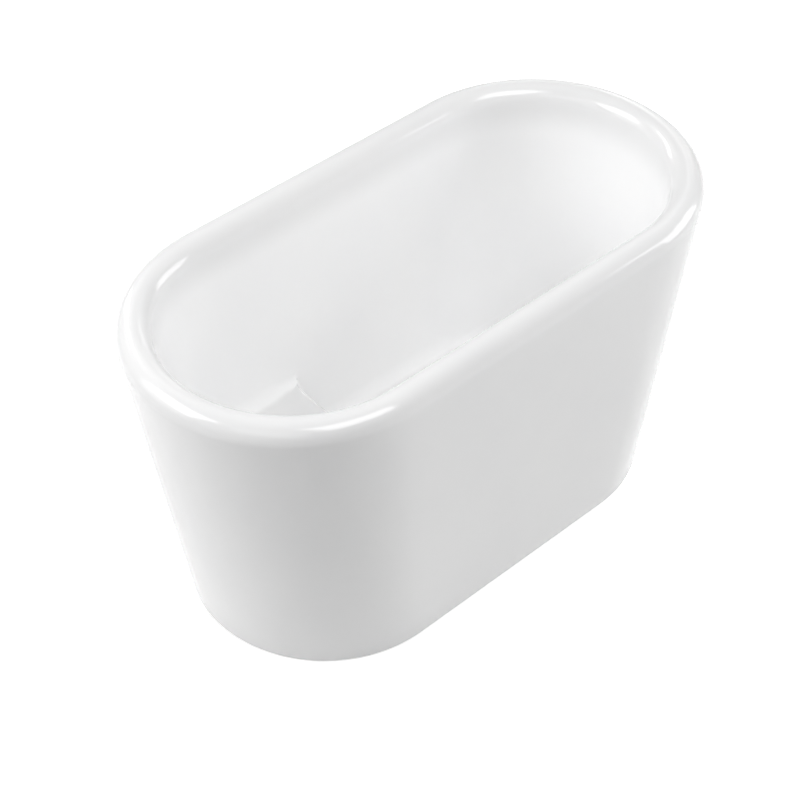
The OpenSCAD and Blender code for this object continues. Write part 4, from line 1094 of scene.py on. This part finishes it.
KEPT = {
    "base_board": (CHIPBOARD, 0.8), "seat_board": (CHIPBOARD, 0.8), "centre_leg_plate": (GALVANISED, None),
    "left_seat_post": (GALVANISED, None), "right_seat_post": (GALVANISED, None),
    "waste_washer": (RUBBER, 0.2), "waste_gasket": (RUBBER, 0.5), "waste_body": (PLASTIC, None),
    "plug_cartridge": (CHROME, 0.3), "plug_stem": (CHROME, 0.3), "overflow_body": (PLASTIC, 0.4),
    "overflow_gasket": (RUBBER, 0.5), "overflow_faceplate": (STAINLESS, 0.3),
    "overflow_screw": (STAINLESS, 0.3), "overflow_pipe": (PLASTIC, None), "pipe_seals": (RUBBER, 0.4),
}
for node_name, (material, width) in KEPT.items():
    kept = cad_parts[node_name]
    for slot_entry in kept.material_slots:
        slot_entry.link = "OBJECT"
        slot_entry.material = material
    if width is None:
        continue
    weld = kept.modifiers.new("weld", "WELD")
    weld.merge_threshold = 2e-6
    rounding = kept.modifiers.new("rounding", "BEVEL")
    rounding.width = width * MM
    rounding.segments = 2
    rounding.limit_method = "ANGLE"
    rounding.angle_limit = math.radians(50)
    rounding.use_clamp_overlap = True


# Stage, in metres

# The floor's own white, and how strongly it shows itself pale up to one distance and from another one on
FLOOR_GREY, FLOOR_HALF = 0.77, 40.0
GLOW_NEAR, GLOW_NEAR_END, GLOW_FAR, GLOW_FAR_START = 0.45, 2.6, 0.72, 9.0
BACKDROP_GREY, WORLD_LIGHT = 0.72, 0.0


def make_floor():
    """Plain floor that takes the tub's shadow, and glows pale for the camera and for reflections."""
    mat = bpy.data.materials.new("floor_white")
    mat.use_nodes = True
    tree = mat.node_tree
    tree.nodes.clear()
    away = add(tree, "VectorMath", {0: place(tree)}, operation="LENGTH").outputs["Value"]
    inputs = {"Value": away, "From Min": GLOW_NEAR_END, "From Max": GLOW_FAR_START, "To Min": GLOW_NEAR,
              "To Max": GLOW_FAR}
    level = add(tree, "MapRange", inputs, interpolation_type="SMOOTHSTEP").outputs["Result"]
    strength = add(tree, "Math", {0: seen_ray(tree), 1: level}, operation="MULTIPLY").outputs["Value"]
    glow = add(tree, "Emission", {"Strength": strength}).outputs["Emission"]
    diffuse = add(tree, "BsdfDiffuse", {"Color": grey(FLOOR_GREY)}).outputs["BSDF"]
    both = add(tree, "AddShader", {0: diffuse, 1: glow}).outputs["Shader"]
    add(tree, "OutputMaterial", {"Surface": both})
    mesh = bpy.data.meshes.new("studio_floor")
    s = FLOOR_HALF
    mesh.from_pydata([(-s, -s, 0), (s, -s, 0), (s, s, 0), (-s, s, 0)], [], [(0, 1, 2, 3)])
    mesh.materials.append(mat)
    floor = new_object("studio_floor", mesh)


def make_world():
    """Pale backdrop for the camera and for reflections, with no light of its own."""
    world = bpy.data.worlds.new("studio")
    scene.world = world
    world.use_nodes = True
    tree = world.node_tree
    tree.nodes.clear()
    seen = add(tree, "Background", {"Color": grey(BACKDROP_GREY), "Strength": 1.0}).outputs["Background"]
    light = add(tree, "Background", {"Color": grey(1), "Strength": WORLD_LIGHT}).outputs["Background"]
    pick = add(tree, "MixShader", {"Fac": seen_ray(tree), 1: light, 2: seen}).outputs["Shader"]
    add(tree, "OutputWorld", {"Surface": pick})


WIDE, STRIP = (2.6, 2.2), (0.4, 2.2)
AIM_HEIGHT = 0.35


def softbox(name, around, height, distance, size, power):
    """Soft lamp aimed at the tub from a plan angle and a height angle."""
    way = Vector((cos(around) * cos(height), sin(around) * cos(height), sin(height)))
    data = bpy.data.lights.new(name, "AREA")
    data.shape = "RECTANGLE"
    data.size, data.size_y = size
    data.energy = power
    lamp = new_object(name, data)
    lamp.location = Vector((0, 0, AIM_HEIGHT)) + way * distance
    lamp.rotation_euler = (-way).to_track_quat("-Z", "Y").to_euler()
    lamp.visible_camera = False


make_floor()
make_world()
softbox("overhead", 270, 62, 4.5, WIDE, 98.8)
softbox("right_low", 330, 20, 4.5, WIDE, 83.2)
softbox("back_right_low", 30, 20, 4.5, WIDE, 12.0)
softbox("back", 90, 40, 4.5, WIDE, 13.5)
softbox("back_left_low", 150, 20, 4.5, WIDE, 26.0)
softbox("back_left", 150, 40, 4.5, WIDE, 96.0)
softbox("front_left", 210, 40, 4.5, WIDE, 19.8)
softbox("strip_back", 90, 30, 3.8, STRIP, 23.9)
softbox("strip_back_right", 30, 30, 3.8, STRIP, 4.0)

# Camera: its place, its lens, and how far it looks down and is turned from the tub's width
CAMERA_PLACE, CAMERA_LENS = (-2.101, -2.199, 3.105), 92.025
CAMERA_DOWN, CAMERA_TURN = 42.95, 42.92

cam_data = bpy.data.cameras.new("camera")
cam_data.sensor_width = 36.0
cam_data.lens = CAMERA_LENS
cam_data.clip_start, cam_data.clip_end = 0.1, 200.0
camera = new_object("camera", cam_data)
camera.location = CAMERA_PLACE
camera.rotation_euler = (math.radians(90 - CAMERA_DOWN), 0.0, math.radians(-CAMERA_TURN))
scene.camera = camera
scene.view_settings.view_transform = "Standard"
